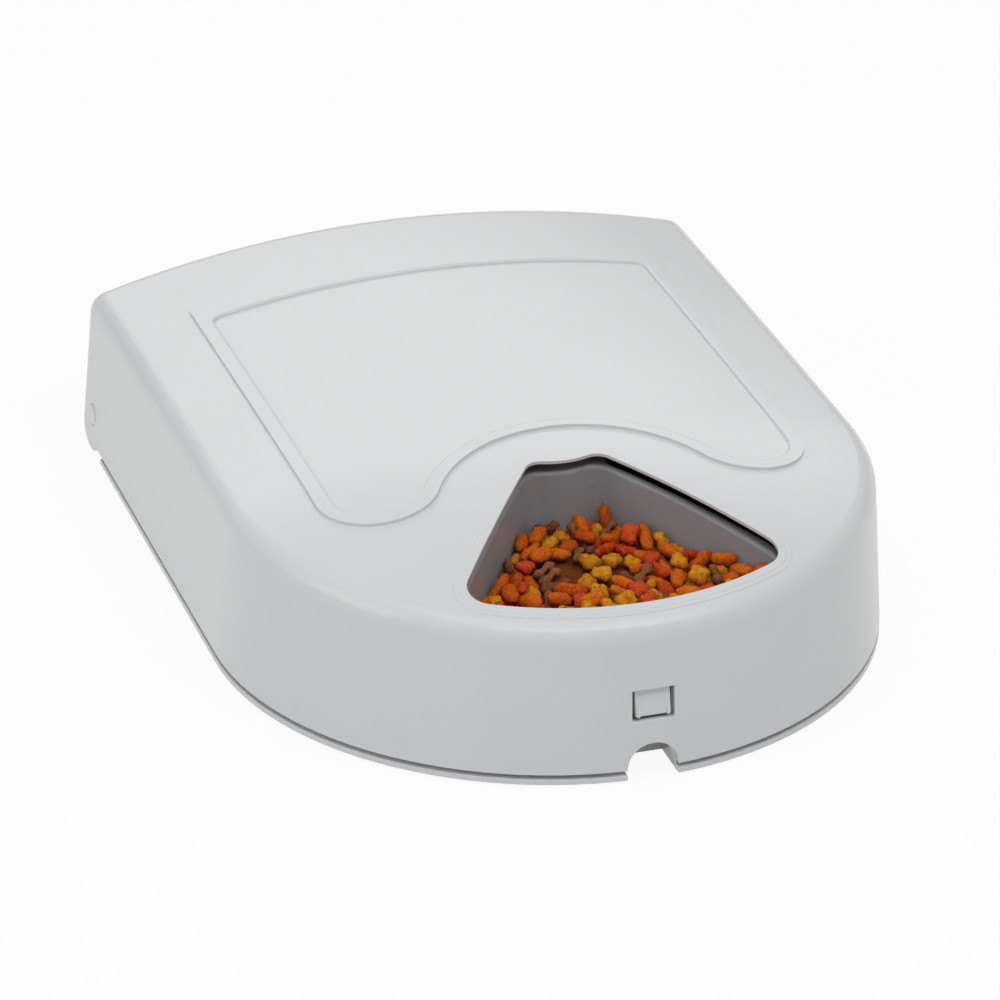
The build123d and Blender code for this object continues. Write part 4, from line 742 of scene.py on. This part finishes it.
@dataclass
class Shell:
    """The lid, base, latch, hinge pins and underside."""

    wall: Finish = Finish.SHELL
    under: Finish = Finish.UNDER

    def dress(self) -> None:
        """Dress the shell's nodes."""
        for node in ("lid", "base_housing", "lid_latch", "hinge_pin_left", "hinge_pin_right"):
            WARDROBE.dress(node, WARDROBE.get(self.wall))
        for node in ("bottom_cover", "battery_door"):
            WARDROBE.dress(node, WARDROBE.get(self.under))
        WARDROBE.dress("rubber_feet", WARDROBE.get(Finish.RUBBER))
        WARDROBE.dress("cover_screws", WARDROBE.get(Finish.SCREW))


@dataclass
class Drive:
    """Gears, motor, spindle and sensor under the tray."""

    plastics: tuple[str, ...] = ("drive_spindle", "spindle_bush", "output_gear", "second_gear", "first_gear")
    darks: tuple[str, ...] = ("index_disc", "slot_sensor", "motor_end_cap")
    frames: tuple[str, ...] = ("gearbox_frame", "gearbox_lid")

    def dress(self) -> None:
        """Dress the drive's nodes."""
        for nodes, finish in ((self.plastics, Finish.GEAR), (self.darks, Finish.DARK), (self.frames, Finish.FRAME),
                              (("motor_can",), Finish.MOTOR), (("motor_pinion",), Finish.BRASS),
                              (("first_axle", "second_axle"), Finish.AXLE), (("gearbox_screws",), Finish.SCREW)):
            for node in nodes:
                WARDROBE.dress(node, WARDROBE.get(finish))


@dataclass
class Power:
    """Cells and their contacts."""

    cells: int = 4
    nub: float = 0.0015

    def dress(self) -> None:
        """Dress the cells, each with its own band, and the contacts."""
        for number in range(1, self.cells + 1):
            node = f"battery_cell_{number}"
            low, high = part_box(node)
            in_front = number % 2 == 1
            front = low.y + (self.nub if in_front else 0.0)
            rear = high.y - (0.0 if in_front else self.nub)
            jacket = CellJacket(f"cell_jacket_{number}", front - 0.0002, rear + 0.0002, in_front)
            WARDROBE.dress(node, jacket.build())
        for node in ("contact_plates", "contact_leaves"):
            WARDROBE.dress(node, WARDROBE.get(Finish.CONTACT))


@dataclass
class Controls:
    """Console, buttons, display and board under the lid."""

    buttons: int = 5

    def dress(self) -> None:
        """Dress the controls' nodes."""
        WARDROBE.dress("control_console", WARDROBE.get(Finish.CONSOLE))
        for number in range(1, self.buttons + 1):
            WARDROBE.dress(f"button_{number}", WARDROBE.get(Finish.BUTTON))
        WARDROBE.dress("display_lens", WARDROBE.get(Finish.LENS))
        WARDROBE.dress("lcd_module", WARDROBE.get(Finish.DISPLAY))
        WARDROBE.dress("circuit_board", WARDROBE.get(Finish.BOARD))
        for node in ("tact_switches", "circuit_chips"):
            WARDROBE.dress(node, WARDROBE.get(Finish.DARK))
        for node in ("panel_screws", "board_screws"):
            WARDROBE.dress(node, WARDROBE.get(Finish.SCREW))
        for node in ("motor_lead_red", "battery_lead_red"):
            WARDROBE.dress(node, WARDROBE.get(Finish.RED))
        for node in ("motor_lead_black", "battery_lead_black"):
            WARDROBE.dress(node, WARDROBE.get(Finish.BLACK))
        WARDROBE.dress("sensor_lead", WARDROBE.get(Finish.GREY))


class Mark(Enum):
    """The raised marks on the button caps, from left to right."""

    DOWN = 1
    UP = 2
    RING = 3
    BAR = 4
    DOT = 5


@dataclass
class ButtonMarks:
    """Plain raised marks on the five button caps."""

    size: float = 0.0042
    proud: float = 0.00022
    sunk: float = 0.00010
    soften: float = 0.00012

    def prism(self, sides: int, radius: float, name: str) -> bpy.types.Object:
        """A low prism with softened upper edges.

        Args:
            sides: How many sides.
            radius: Its corner radius.
            name: Its name.

        Returns:
            The prism, with its base at the origin.
        """
        clear_selection()
        bpy.ops.mesh.primitive_circle_add(vertices=sides, radius=radius, fill_type="NGON")
        piece = named(name)
        bpy.ops.object.mode_set(mode="EDIT")
        bpy.ops.mesh.select_all(action="SELECT")
        bpy.ops.mesh.extrude_region_move(TRANSFORM_OT_translate={"value": (0, 0, self.proud + self.sunk - self.soften)})
        bpy.ops.mesh.extrude_region_move(TRANSFORM_OT_translate={"value": (0, 0, self.soften)})
        share = 1 - self.soften / radius
        bpy.ops.transform.resize(value=(share, share, 1), center_override=(0, 0, 0))
        bpy.ops.object.mode_set(mode="OBJECT")
        outward(piece)
        return piece

    def shape(self, mark: Mark) -> bpy.types.Object:
        """One mark about the origin.

        Args:
            mark: Which mark.

        Returns:
            The mark.
        """
        name = f"mark_{mark.name.lower()}"
        if mark in (Mark.UP, Mark.DOWN):
            piece = self.prism(3, self.size / 2, name)
            piece.rotation_euler = (0, 0, math.pi if mark is Mark.DOWN else 0.0)
        elif mark is Mark.BAR:
            piece = self.prism(4, self.size / 2, name)
            piece.rotation_euler = (0, 0, math.pi / 4)
            settle(piece)
            piece.scale = (1.15, 0.34, 1.0)
        elif mark is Mark.RING:
            piece = self.prism(28, self.size / 2, name)
            take(piece)
            bpy.ops.object.mode_set(mode="EDIT")
            select_where(piece, lambda c: c.z > self.proud + self.sunk - 0.2 * self.soften)
            bpy.ops.mesh.inset(thickness=self.size * 0.16)
            bpy.ops.mesh.extrude_region_move(TRANSFORM_OT_translate={"value": (0, 0, -self.proud)})
            bpy.ops.object.mode_set(mode="OBJECT")
        else:
            piece = self.prism(24, self.size * 0.28, name)
        return settle(piece)

    def build(self) -> None:
        """Put a mark on each cap."""
        for mark in Mark:
            body = f"button_{mark.value}"
            low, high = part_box(body)
            piece = self.shape(mark)
            piece.location = ((low.x + high.x) / 2, (low.y + high.y) / 2, high.z - self.sunk)
            settle(piece)
            piece.data.materials.append(WARDROBE.get(Finish.DARK))
            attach(piece, body)
            log.info("marked %s with %s", body, mark.name.lower())


@dataclass
class Readout:
    """Seven-segment digits on the display glass."""

    reading: str = "12:30"
    length: float = 0.0046
    stroke: float = 0.0011
    pitch: float = 0.0082
    thick: float = 0.00012
    lit: dict[str, str] = field(default_factory=lambda: {"0": "abcdef", "1": "bc", "2": "abged", "3": "abgcd"})

    def segment(self) -> bpy.types.Object:
        """One bar with pointed ends along X.

        Returns:
            The bar.
        """
        clear_selection()
        bpy.ops.mesh.primitive_cube_add(size=1.0)
        piece = named("segment")
        straight = self.length - self.stroke
        piece.scale = (straight, self.stroke, self.thick)
        settle(piece)
        bpy.ops.object.mode_set(mode="EDIT")
        for hand in (-1, 1):
            select_where(piece, lambda c, h=hand: c.x * h > 0.45 * straight)
            bpy.ops.mesh.extrude_region_move(TRANSFORM_OT_translate={"value": (hand * self.stroke * 0.45, 0, 0)})
            bpy.ops.transform.resize(value=(1, 0.08, 1), center_override=(hand * straight / 2, 0, 0))
        bpy.ops.object.mode_set(mode="OBJECT")
        return piece

    def places(self) -> dict[str, tuple[float, float, bool]]:
        """Where each segment stands in its digit, and whether it is upright.

        Returns:
            X, Y and upright by segment letter.
        """
        half = self.length / 2
        return {"a": (0, 2 * half, False), "g": (0, 0, False), "d": (0, -2 * half, False), "b": (half, half, True),
                "c": (half, -half, True), "f": (-half, half, True), "e": (-half, -half, True)}

    def build(self) -> None:
        """Lay the digits and the colon on the glass."""
        low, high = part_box("lcd_module")
        middle = Vector(((low.x + high.x) / 2, (low.y + high.y) / 2, high.z + self.thick / 2))
        bar = self.segment()
        pieces = []
        left = -(len(self.reading) - 1) / 2 * self.pitch
        for number, sign in enumerate(self.reading):
            across = left + number * self.pitch
            spots = [(0, self.length * 0.45, False), (0, -self.length * 0.45, False)]
            if sign in self.lit:
                spots = [self.places()[letter] for letter in self.lit[sign]]
            for x, y, upright in spots:
                copy = bpy.data.objects.new("bar", bar.data.copy())
                bpy.context.scene.collection.objects.link(copy)
                if sign == ":":
                    copy.data.transform(Matrix.Diagonal((0.3, 1.0, 1.0, 1.0)))
                if upright:
                    copy.data.transform(Matrix.Rotation(math.pi / 2, 4, "Z"))
                copy.data.transform(Matrix.Translation(middle + Vector((across + x, y, 0))))
                pieces.append(copy)
        bpy.data.objects.remove(bar)
        piece = join(pieces, "display_digits")
        piece.data.materials.append(WARDROBE.get(Finish.DARK))
        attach(piece, "base")
        log.info("readout laid: %d bars", len(pieces))


@dataclass
class Studio:
    """Floor, lights, background and the camera at the photograph's view."""

    eye: tuple[float, float, float] = (-0.72743, -2.16865, 1.22705)
    forward: tuple[float, float, float] = (0.28303446, 0.8384551, -0.46570865)
    up: tuple[float, float, float] = (0.13636408, 0.44545177, 0.88486019)
    focal: float = 5752.18
    centre: tuple[float, float] = (517.55, 522.60)

    def build(self) -> None:
        """Build the whole studio."""
        bpy.context.scene.view_settings.view_transform = "Standard"
        self.build_camera()
        self.build_floor()
        self.build_world()
        self.build_lights()

    def build_camera(self) -> None:
        """Add the camera with the photograph's place, direction and lens."""
        ahead = Vector(self.forward).normalized()
        above = Vector(self.up)
        right = ahead.cross(above).normalized()
        above = right.cross(ahead)
        turn = Matrix((right, above, -ahead)).transposed().to_4x4()
        data = bpy.data.cameras.new("view")
        data.sensor_width = 36.0
        data.lens = self.focal / 1000.0 * data.sensor_width
        data.shift_x = (500.0 - self.centre[0]) / 1000.0
        data.shift_y = (self.centre[1] - 500.0) / 1000.0
        data.clip_end = 50.0
        camera = bpy.data.objects.new("view", data)
        camera.matrix_world = Matrix.Translation(self.eye) @ turn
        bpy.context.scene.collection.objects.link(camera)
        bpy.context.scene.camera = camera

    def build_floor(self) -> None:
        """Add the pale floor, seen as white with a soft contact shadow."""
        clear_selection()
        bpy.ops.mesh.primitive_plane_add(size=14.0, location=(0.0, 1.5, 0.0))
        floor = settle(named("floor"))
        material = bpy.data.materials.new("floor_paper")
        material.use_nodes = True
        material.node_tree.nodes.clear()
        w = Wiring(material.node_tree)
        paper = w.node("ShaderNodeBsdfDiffuse", Color=(0.80, 0.80, 0.80))
        glow = w.node("ShaderNodeEmission", Color=(1.0, 1.0, 1.0), Strength=1.0)
        path = w.node("ShaderNodeLightPath")
        seen = w.maths("MAXIMUM", path.outputs["Is Camera Ray"],
                       w.maths("MAXIMUM", path.outputs["Is Glossy Ray"], path.outputs["Is Transmission Ray"]))
        share = w.maths("MULTIPLY", seen, 0.93)
        mixed = w.node("ShaderNodeMixShader", Fac=share, i1=paper.outputs["BSDF"], i2=glow.outputs["Emission"])
        w.node("ShaderNodeOutputMaterial", Surface=mixed.outputs["Shader"])
        floor.data.materials.append(material)

    def build_world(self) -> None:
        """Light the scene softly from all round; the background itself is white."""
        world = bpy.data.worlds.new("studio")
        bpy.context.scene.world = world
        world.use_nodes = True
        world.node_tree.nodes.clear()
        w = Wiring(world.node_tree)
        path = w.node("ShaderNodeLightPath")
        soft = w.node("ShaderNodeBackground", Color=(1.0, 1.0, 1.0), Strength=0.405)
        white = w.node("ShaderNodeBackground", Color=(1.0, 1.0, 1.0), Strength=1.0)
        mixed = w.node("ShaderNodeMixShader", Fac=path.outputs["Is Camera Ray"], i1=soft.outputs["Background"],
                       i2=white.outputs["Background"])
        w.node("ShaderNodeOutputWorld", Surface=mixed.outputs["Shader"])

    def build_lights(self) -> None:
        """Add the overhead bank, the front strip and two side banks."""
        self.bank("bank_top", (0.0, -0.35, 1.95), (0.0, 0.0, 0.05), (2.2, 1.1), 9.5)
        self.bank("bank_front", (0.15, -1.05, 1.60), (0.0, -0.1, 0.05), (1.8, 0.35), 9.0)
        self.bank("bank_left", (-2.0, -0.3, 0.9), (0.0, 0.0, 0.05), (1.4, 1.0), 8.0)
        self.bank("bank_rear", (0.5, 1.9, 1.15), (0.0, 0.0, 0.05), (2.0, 0.9), 8.5)

    def bank(self, name: str, place: tuple[float, float, float], aim: tuple[float, float, float],
             size: tuple[float, float], power: float) -> None:
        """Add one rectangular soft light.

        Args:
            name: The light's name.
            place: Where it stands.
            aim: The point it faces.
            size: Its width and height in metres.
            power: Its power in watts.
        """
        data = bpy.data.lights.new(name, "AREA")
        data.shape = "RECTANGLE"
        data.size, data.size_y = size
        data.energy = power
        lamp = bpy.data.objects.new(name, data)
        lamp.location = place
        lamp.rotation_euler = (Vector(aim) - Vector(place)).to_track_quat("-Z", "Y").to_euler()
        bpy.context.scene.collection.objects.link(lamp)


class KibbleShape(Enum):
    """The shapes of dry food in the mix."""

    OVAL = "oval"
    CROSS = "cross"
    CLUMP = "clump"
    BONE = "bone"


@dataclass
class DryFood:
    """The served heap of dry food, poured into the front compartment."""

    count: int = 280
    seed: int = 11
    grow: float = 20.0
    frames: int = 110
    drop: float = 0.0118
    finishes: dict[KibbleShape, BakedKibble] = field(default_factory=lambda: {
        KibbleShape.OVAL: BakedKibble("kibble_orange", (0.72, 0.095, 0.003), (0.97, 0.215, 0.007), (1.0, 0.52, 0.12)),
        KibbleShape.CROSS: BakedKibble("kibble_red", (0.70, 0.052, 0.008), (0.94, 0.125, 0.024), (1.0, 0.36, 0.10)),
        KibbleShape.CLUMP: BakedKibble("kibble_ochre", (0.76, 0.255, 0.004), (0.98, 0.425, 0.010), (1.0, 0.68, 0.16)),
        KibbleShape.BONE: BakedKibble("kibble_brown", (0.28, 0.085, 0.030), (0.46, 0.170, 0.070), (0.72, 0.42, 0.20))})
    mix: tuple[KibbleShape, ...] = (
        KibbleShape.OVAL, KibbleShape.OVAL, KibbleShape.CROSS, KibbleShape.CLUMP, KibbleShape.OVAL, KibbleShape.CLUMP,
        KibbleShape.BONE, KibbleShape.CROSS, KibbleShape.OVAL, KibbleShape.BONE)

    def drawn(self, name: str, length: float, radius: float, shares: Sequence[float], flat: float) -> bpy.types.Object:
        """A kibble drawn out of a ring, ring by ring, along X.

        Args:
            name: Its name.
            length: Its length in metres.
            radius: Its largest radius in metres.
            shares: Each ring's share of the radius.
            flat: Height as a share of width.

        Returns:
            The kibble.
        """
        clear_selection()
        bpy.ops.mesh.primitive_circle_add(vertices=8, radius=radius * shares[0], fill_type="NGON",
                                          location=(0, 0, -length / 2))
        piece = named(name)
        settle(piece)
        bpy.ops.object.mode_set(mode="EDIT")
        bpy.ops.mesh.select_all(action="SELECT")
        step = length / (len(shares) - 1)
        height = -length / 2
        for before, now in zip(shares, shares[1:]):
            height += step
            bpy.ops.mesh.extrude_region_move(TRANSFORM_OT_translate={"value": (0, 0, step)})
            ratio = now / before
            bpy.ops.transform.resize(value=(ratio, ratio, 1), center_override=(0, 0, height))
        bpy.ops.mesh.select_all(action="SELECT")
        bpy.ops.transform.resize(value=(1, flat, 1), center_override=(0, 0, 0))
        bpy.ops.transform.rotate(value=math.pi / 2, orient_axis="Y", center_override=(0, 0, 0))
        bpy.ops.object.mode_set(mode="OBJECT")
        outward(piece)
        return piece

    def oval(self, name: str, length: float, width: float) -> bpy.types.Object:
        """A long oval.

        Args:
            name: Its name.
            length: Its length.
            width: Its width.

        Returns:
            The kibble.
        """
        return self.drawn(name, length, width / 2, (0.42, 0.84, 1.0, 0.94, 1.0, 0.86, 0.46), 0.82)

    def bone(self, name: str, length: float, width: float) -> bpy.types.Object:
        """A bone with two round ends.

        Args:
            name: Its name.
            length: Its length.
            width: Its width.

        Returns:
            The kibble.
        """
        return self.drawn(name, length, width / 2, (0.45, 0.95, 1.0, 0.58, 0.50, 0.58, 1.0, 0.95, 0.45), 0.72)

    def cross(self, name: str, span: float, thick: float) -> bpy.types.Object:
        """A fat cross with short arms.

        Args:
            name: Its name.
            span: Arm tip to arm tip.
            thick: Its thickness.

        Returns:
            The kibble.
        """
        clear_selection()
        bpy.ops.mesh.primitive_cube_add(size=thick)
        piece = named(name)
        bpy.ops.object.mode_set(mode="EDIT")
        reach = (span - thick) / 2
        for axis in (0, 1):
            for hand in (-1, 1):
                select_where(piece, lambda c, a=axis, h=hand: c[a] * h > 0.45 * thick and abs(c[1 - a]) < 0.1 * thick)
                move = [0.0, 0.0, 0.0]
                move[axis] = hand * reach
                bpy.ops.mesh.extrude_region_move(TRANSFORM_OT_translate={"value": tuple(move)})
                bpy.ops.transform.resize(value=(0.8, 0.8, 0.75), center_override=tuple(
                    hand * (thick / 2 + reach) if k == axis else 0.0 for k in range(3)))
        bpy.ops.object.mode_set(mode="OBJECT")
        apply_modifier(piece, "SUBSURF", levels=1, render_levels=1)
        return piece

    def clump(self, name: str, size: float, pick: random.Random) -> bpy.types.Object:
        """A clump of three or four rounded lobes.

        Args:
            name: Its name.
            size: Its rough size.
            pick: Source of chance.

        Returns:
            The kibble.
        """
        lobes = []
        for number in range(4):
            clear_selection()
            turn = number * math.pi / 2 + pick.uniform(-0.3, 0.3)
            reach = size * 0.24
            bpy.ops.mesh.primitive_ico_sphere_add(subdivisions=2, radius=size * pick.uniform(0.22, 0.29),
                                                  location=(reach * math.cos(turn), reach * math.sin(turn), pick.uniform(-0.1, 0.1) * size))
            lobes.append(named(f"{name}_{number}"))
        piece = settle(join(lobes, name))
        apply_modifier(piece, "REMESH", mode="VOXEL", voxel_size=size / 14)
        apply_modifier(piece, "SMOOTH", iterations=2, factor=0.6)
        faces = len(piece.data.polygons)
        apply_modifier(piece, "DECIMATE", ratio=min(1.0, 110 / faces))
        return piece

    def roughen(self, piece: bpy.types.Object, amount: float, seed: int) -> None:
        """Move the points a little at random.

        Args:
            piece: The kibble.
            amount: How far, in metres.
            seed: The seed.
        """
        pick = random.Random(seed)
        for point in piece.data.vertices:
            point.co += Vector((pick.uniform(-1, 1), pick.uniform(-1, 1), pick.uniform(-1, 1))) * amount
        take(piece)
        bpy.ops.object.shade_smooth()

    def moulds(self) -> dict[KibbleShape, list[bpy.types.Object]]:
        """A few variants of each shape, about the origin.

        Returns:
            The variants by shape.
        """
        pick = random.Random(self.seed)
        made = {
            KibbleShape.OVAL: [self.oval("oval_a", 0.0150, 0.0078), self.oval("oval_b", 0.0172, 0.0070),
                               self.oval("oval_c", 0.0128, 0.0080)],
            KibbleShape.CROSS: [self.cross("cross_a", 0.0118, 0.0052), self.cross("cross_b", 0.0104, 0.0054)],
            KibbleShape.CLUMP: [self.clump("clump_a", 0.0118, pick), self.clump("clump_b", 0.0104, pick)],
            KibbleShape.BONE: [self.bone("bone_a", 0.0136, 0.0064), self.bone("bone_b", 0.0120, 0.0060)]}
        for shape, variants in made.items():
            for number, piece in enumerate(variants):
                self.roughen(piece, 0.00052, self.seed * 7 + number)
        return made

    def build(self) -> bpy.types.Object:
        """Pour the kibble and join it into one heap.

        Returns:
            The heap.
        """
        moulds = self.moulds()
        pick = random.Random(self.seed)
        poured = []
        for number in range(self.count):
            shape = self.mix[pick.randrange(len(self.mix))]
            mould = pick.choice(moulds[shape])
            copy = bpy.data.objects.new(f"kibble_{number}", mould.data.copy())
            bpy.context.scene.collection.objects.link(copy)
            tint = copy.data.attributes.new("tint", "FLOAT", "POINT")
            value = pick.random()
            for item in tint.data:
                item.value = value
            layer = number // 19
            angle = pick.uniform(-0.40, 0.40) + 0.04
            reach = pick.uniform(0.070, 0.118)
            copy.location = (math.sin(angle) * reach * self.grow, (TRAY_Y - math.cos(angle) * reach) * self.grow,
                             (0.070 + 0.011 * layer) * self.grow)
            copy.rotation_euler = Euler([pick.uniform(0, 2 * math.pi) for _ in range(3)])
            size = pick.uniform(0.80, 0.97)
            copy.scale = (size * self.grow,) * 3
            poured.append((copy, shape))
        self.pour([item for item, _ in poured])
        heap = self.gather(poured)
        for variants in moulds.values():
            for piece in variants:
                bpy.data.objects.remove(piece)
        return heap

    def bowl(self) -> list[bpy.types.Object]:
        """The walls and the raised bottom that the kibble falls on, enlarged.

        Returns:
            Two helper objects.
        """
        helpers = []
        for node, lift in (("tray", 0.0), ("food_portion", -self.drop)):
            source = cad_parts[node]
            helper = bpy.data.objects.new(f"helper_{node}", source.data.copy())
            bpy.context.scene.collection.objects.link(helper)
            helper.data.transform(Matrix.Translation((0, 0, lift)))
            helper.data.transform(Matrix.Scale(self.grow, 4))
            helpers.append(helper)
        return helpers

    def pour(self, pieces: Sequence[bpy.types.Object]) -> None:
        """Let the kibble fall and come to rest.

        Args:
            pieces: The enlarged kibbles.
        """
        scene = bpy.context.scene
        helpers = self.bowl()
        clear_selection()
        bpy.ops.rigidbody.world_add()
        world = scene.rigidbody_world
        world.substeps_per_frame = 8
        world.solver_iterations = 20
        scene.frame_start, scene.frame_end = 1, self.frames
        world.point_cache.frame_start, world.point_cache.frame_end = 1, self.frames
        for items, kind, shape in ((helpers, "PASSIVE", "MESH"), (pieces, "ACTIVE", "CONVEX_HULL")):
            clear_selection()
            for item in items:
                item.select_set(True)
            bpy.context.view_layer.objects.active = items[0]
            bpy.ops.rigidbody.objects_add(type=kind)
            for item in items:
                body = item.rigid_body
                body.collision_shape = shape
                body.use_margin = True
                body.collision_margin = 0.004
                body.friction = 0.85
                body.restitution = 0.02
                body.linear_damping = 0.12
                body.angular_damping = 0.35
        for number in range(1, self.frames + 1):
            scene.frame_set(number)
        bpy.context.view_layer.update()
        rest = {item: item.matrix_world.copy() for item in pieces}
        bpy.ops.rigidbody.world_remove()
        scene.frame_set(1)
        for item, place in rest.items():
            item.matrix_world = Matrix.Scale(1 / self.grow, 4) @ place
        for helper in helpers:
            bpy.data.objects.remove(helper)

    def gather(self, poured: Sequence[tuple[bpy.types.Object, KibbleShape]]) -> bpy.types.Object:
        """Drop what fell outside, dress the rest and join it.

        Args:
            poured: Each kibble with its shape.

        Returns:
            The heap.
        """
        low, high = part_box("food_portion")
        slots = list(self.finishes)
        kept = []
        for item, shape in poured:
            place = item.matrix_world.translation
            inside = low.x < place.x < high.x and low.y < place.y < high.y and low.z < place.z < high.z + 0.004
            if not inside:
                bpy.data.objects.remove(item)
                continue
            item.data.transform(item.matrix_world)
            item.matrix_world = Matrix.Identity(4)
            item.data.materials.clear()
            for slot in slots:
                item.data.materials.append(self.material(slot))
            for face in item.data.polygons:
                face.material_index = slots.index(shape)
            kept.append(item)
        log.info("kibble kept: %d of %d", len(kept), len(poured))
        return join(kept, "dry_food_heap")

    def material(self, shape: KibbleShape) -> bpy.types.Material:
        """The material of one shape, made once.

        Args:
            shape: The shape.

        Returns:
            Its material.
        """
        name = self.finishes[shape].name
        return bpy.data.materials.get(name) or self.finishes[shape].build()


@dataclass
class FoodCore:
    """What lies under the visible kibble: the compartment's filling, coloured darker than the kibble as painted shade
    in the gaps between the pieces.
    """

    drop: float = 0.0130

    def build(self) -> bpy.types.Object:
        """Copy the filling's solid, lowered under the poured kibble.

        Returns:
            The core.
        """
        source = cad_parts["food_portion"]
        piece = bpy.data.objects.new("food_core", source.data.copy())
        bpy.context.scene.collection.objects.link(piece)
        outward(piece)
        low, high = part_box("food_portion")
        top = low.z + (high.z - low.z - self.drop)
        take(piece)
        bpy.ops.object.mode_set(mode="EDIT")
        bpy.ops.mesh.select_all(action="SELECT")
        share = (top - low.z) / (high.z - low.z)
        bpy.ops.transform.resize(value=(0.995, 0.995, share), center_override=((low.x + high.x) / 2, (low.y + high.y) / 2, low.z))
        bpy.ops.object.mode_set(mode="OBJECT")
        piece.data.materials.clear()
        # Painted shade: the filling's dark brown stands for the shaded depths between the pieces.
        piece.data.materials.append(BakedKibble("kibble_bed_painted_shade", (0.22, 0.055, 0.012), (0.42, 0.12, 0.02), (0.6, 0.3, 0.1)).build())
        return piece


@dataclass
class Tray:
    """The turning tray and its food."""

    def build(self) -> None:
        """Dress the tray and fill its front compartment."""
        WARDROBE.dress("tray", WARDROBE.get(Finish.TRAY))
        food = DryFood()
        heap = food.build()
        core = FoodCore().build()
        for piece in (heap, core):
            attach(piece, "tray")
        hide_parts("food_portion")
        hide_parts("food_portion")
        log.info("tray filled: %d faces", len(heap.data.polygons))


def main() -> None:
    """Build the classes in order."""
    logging.basicConfig(level=logging.INFO, format="%(message)s")
    for part in (Shell(), Drive(), Power(), Controls()):
        part.dress()
    ButtonMarks().build()
    Readout().build()
    Tray().build()
    Studio().build()


if __name__ == "__main__":
    main()
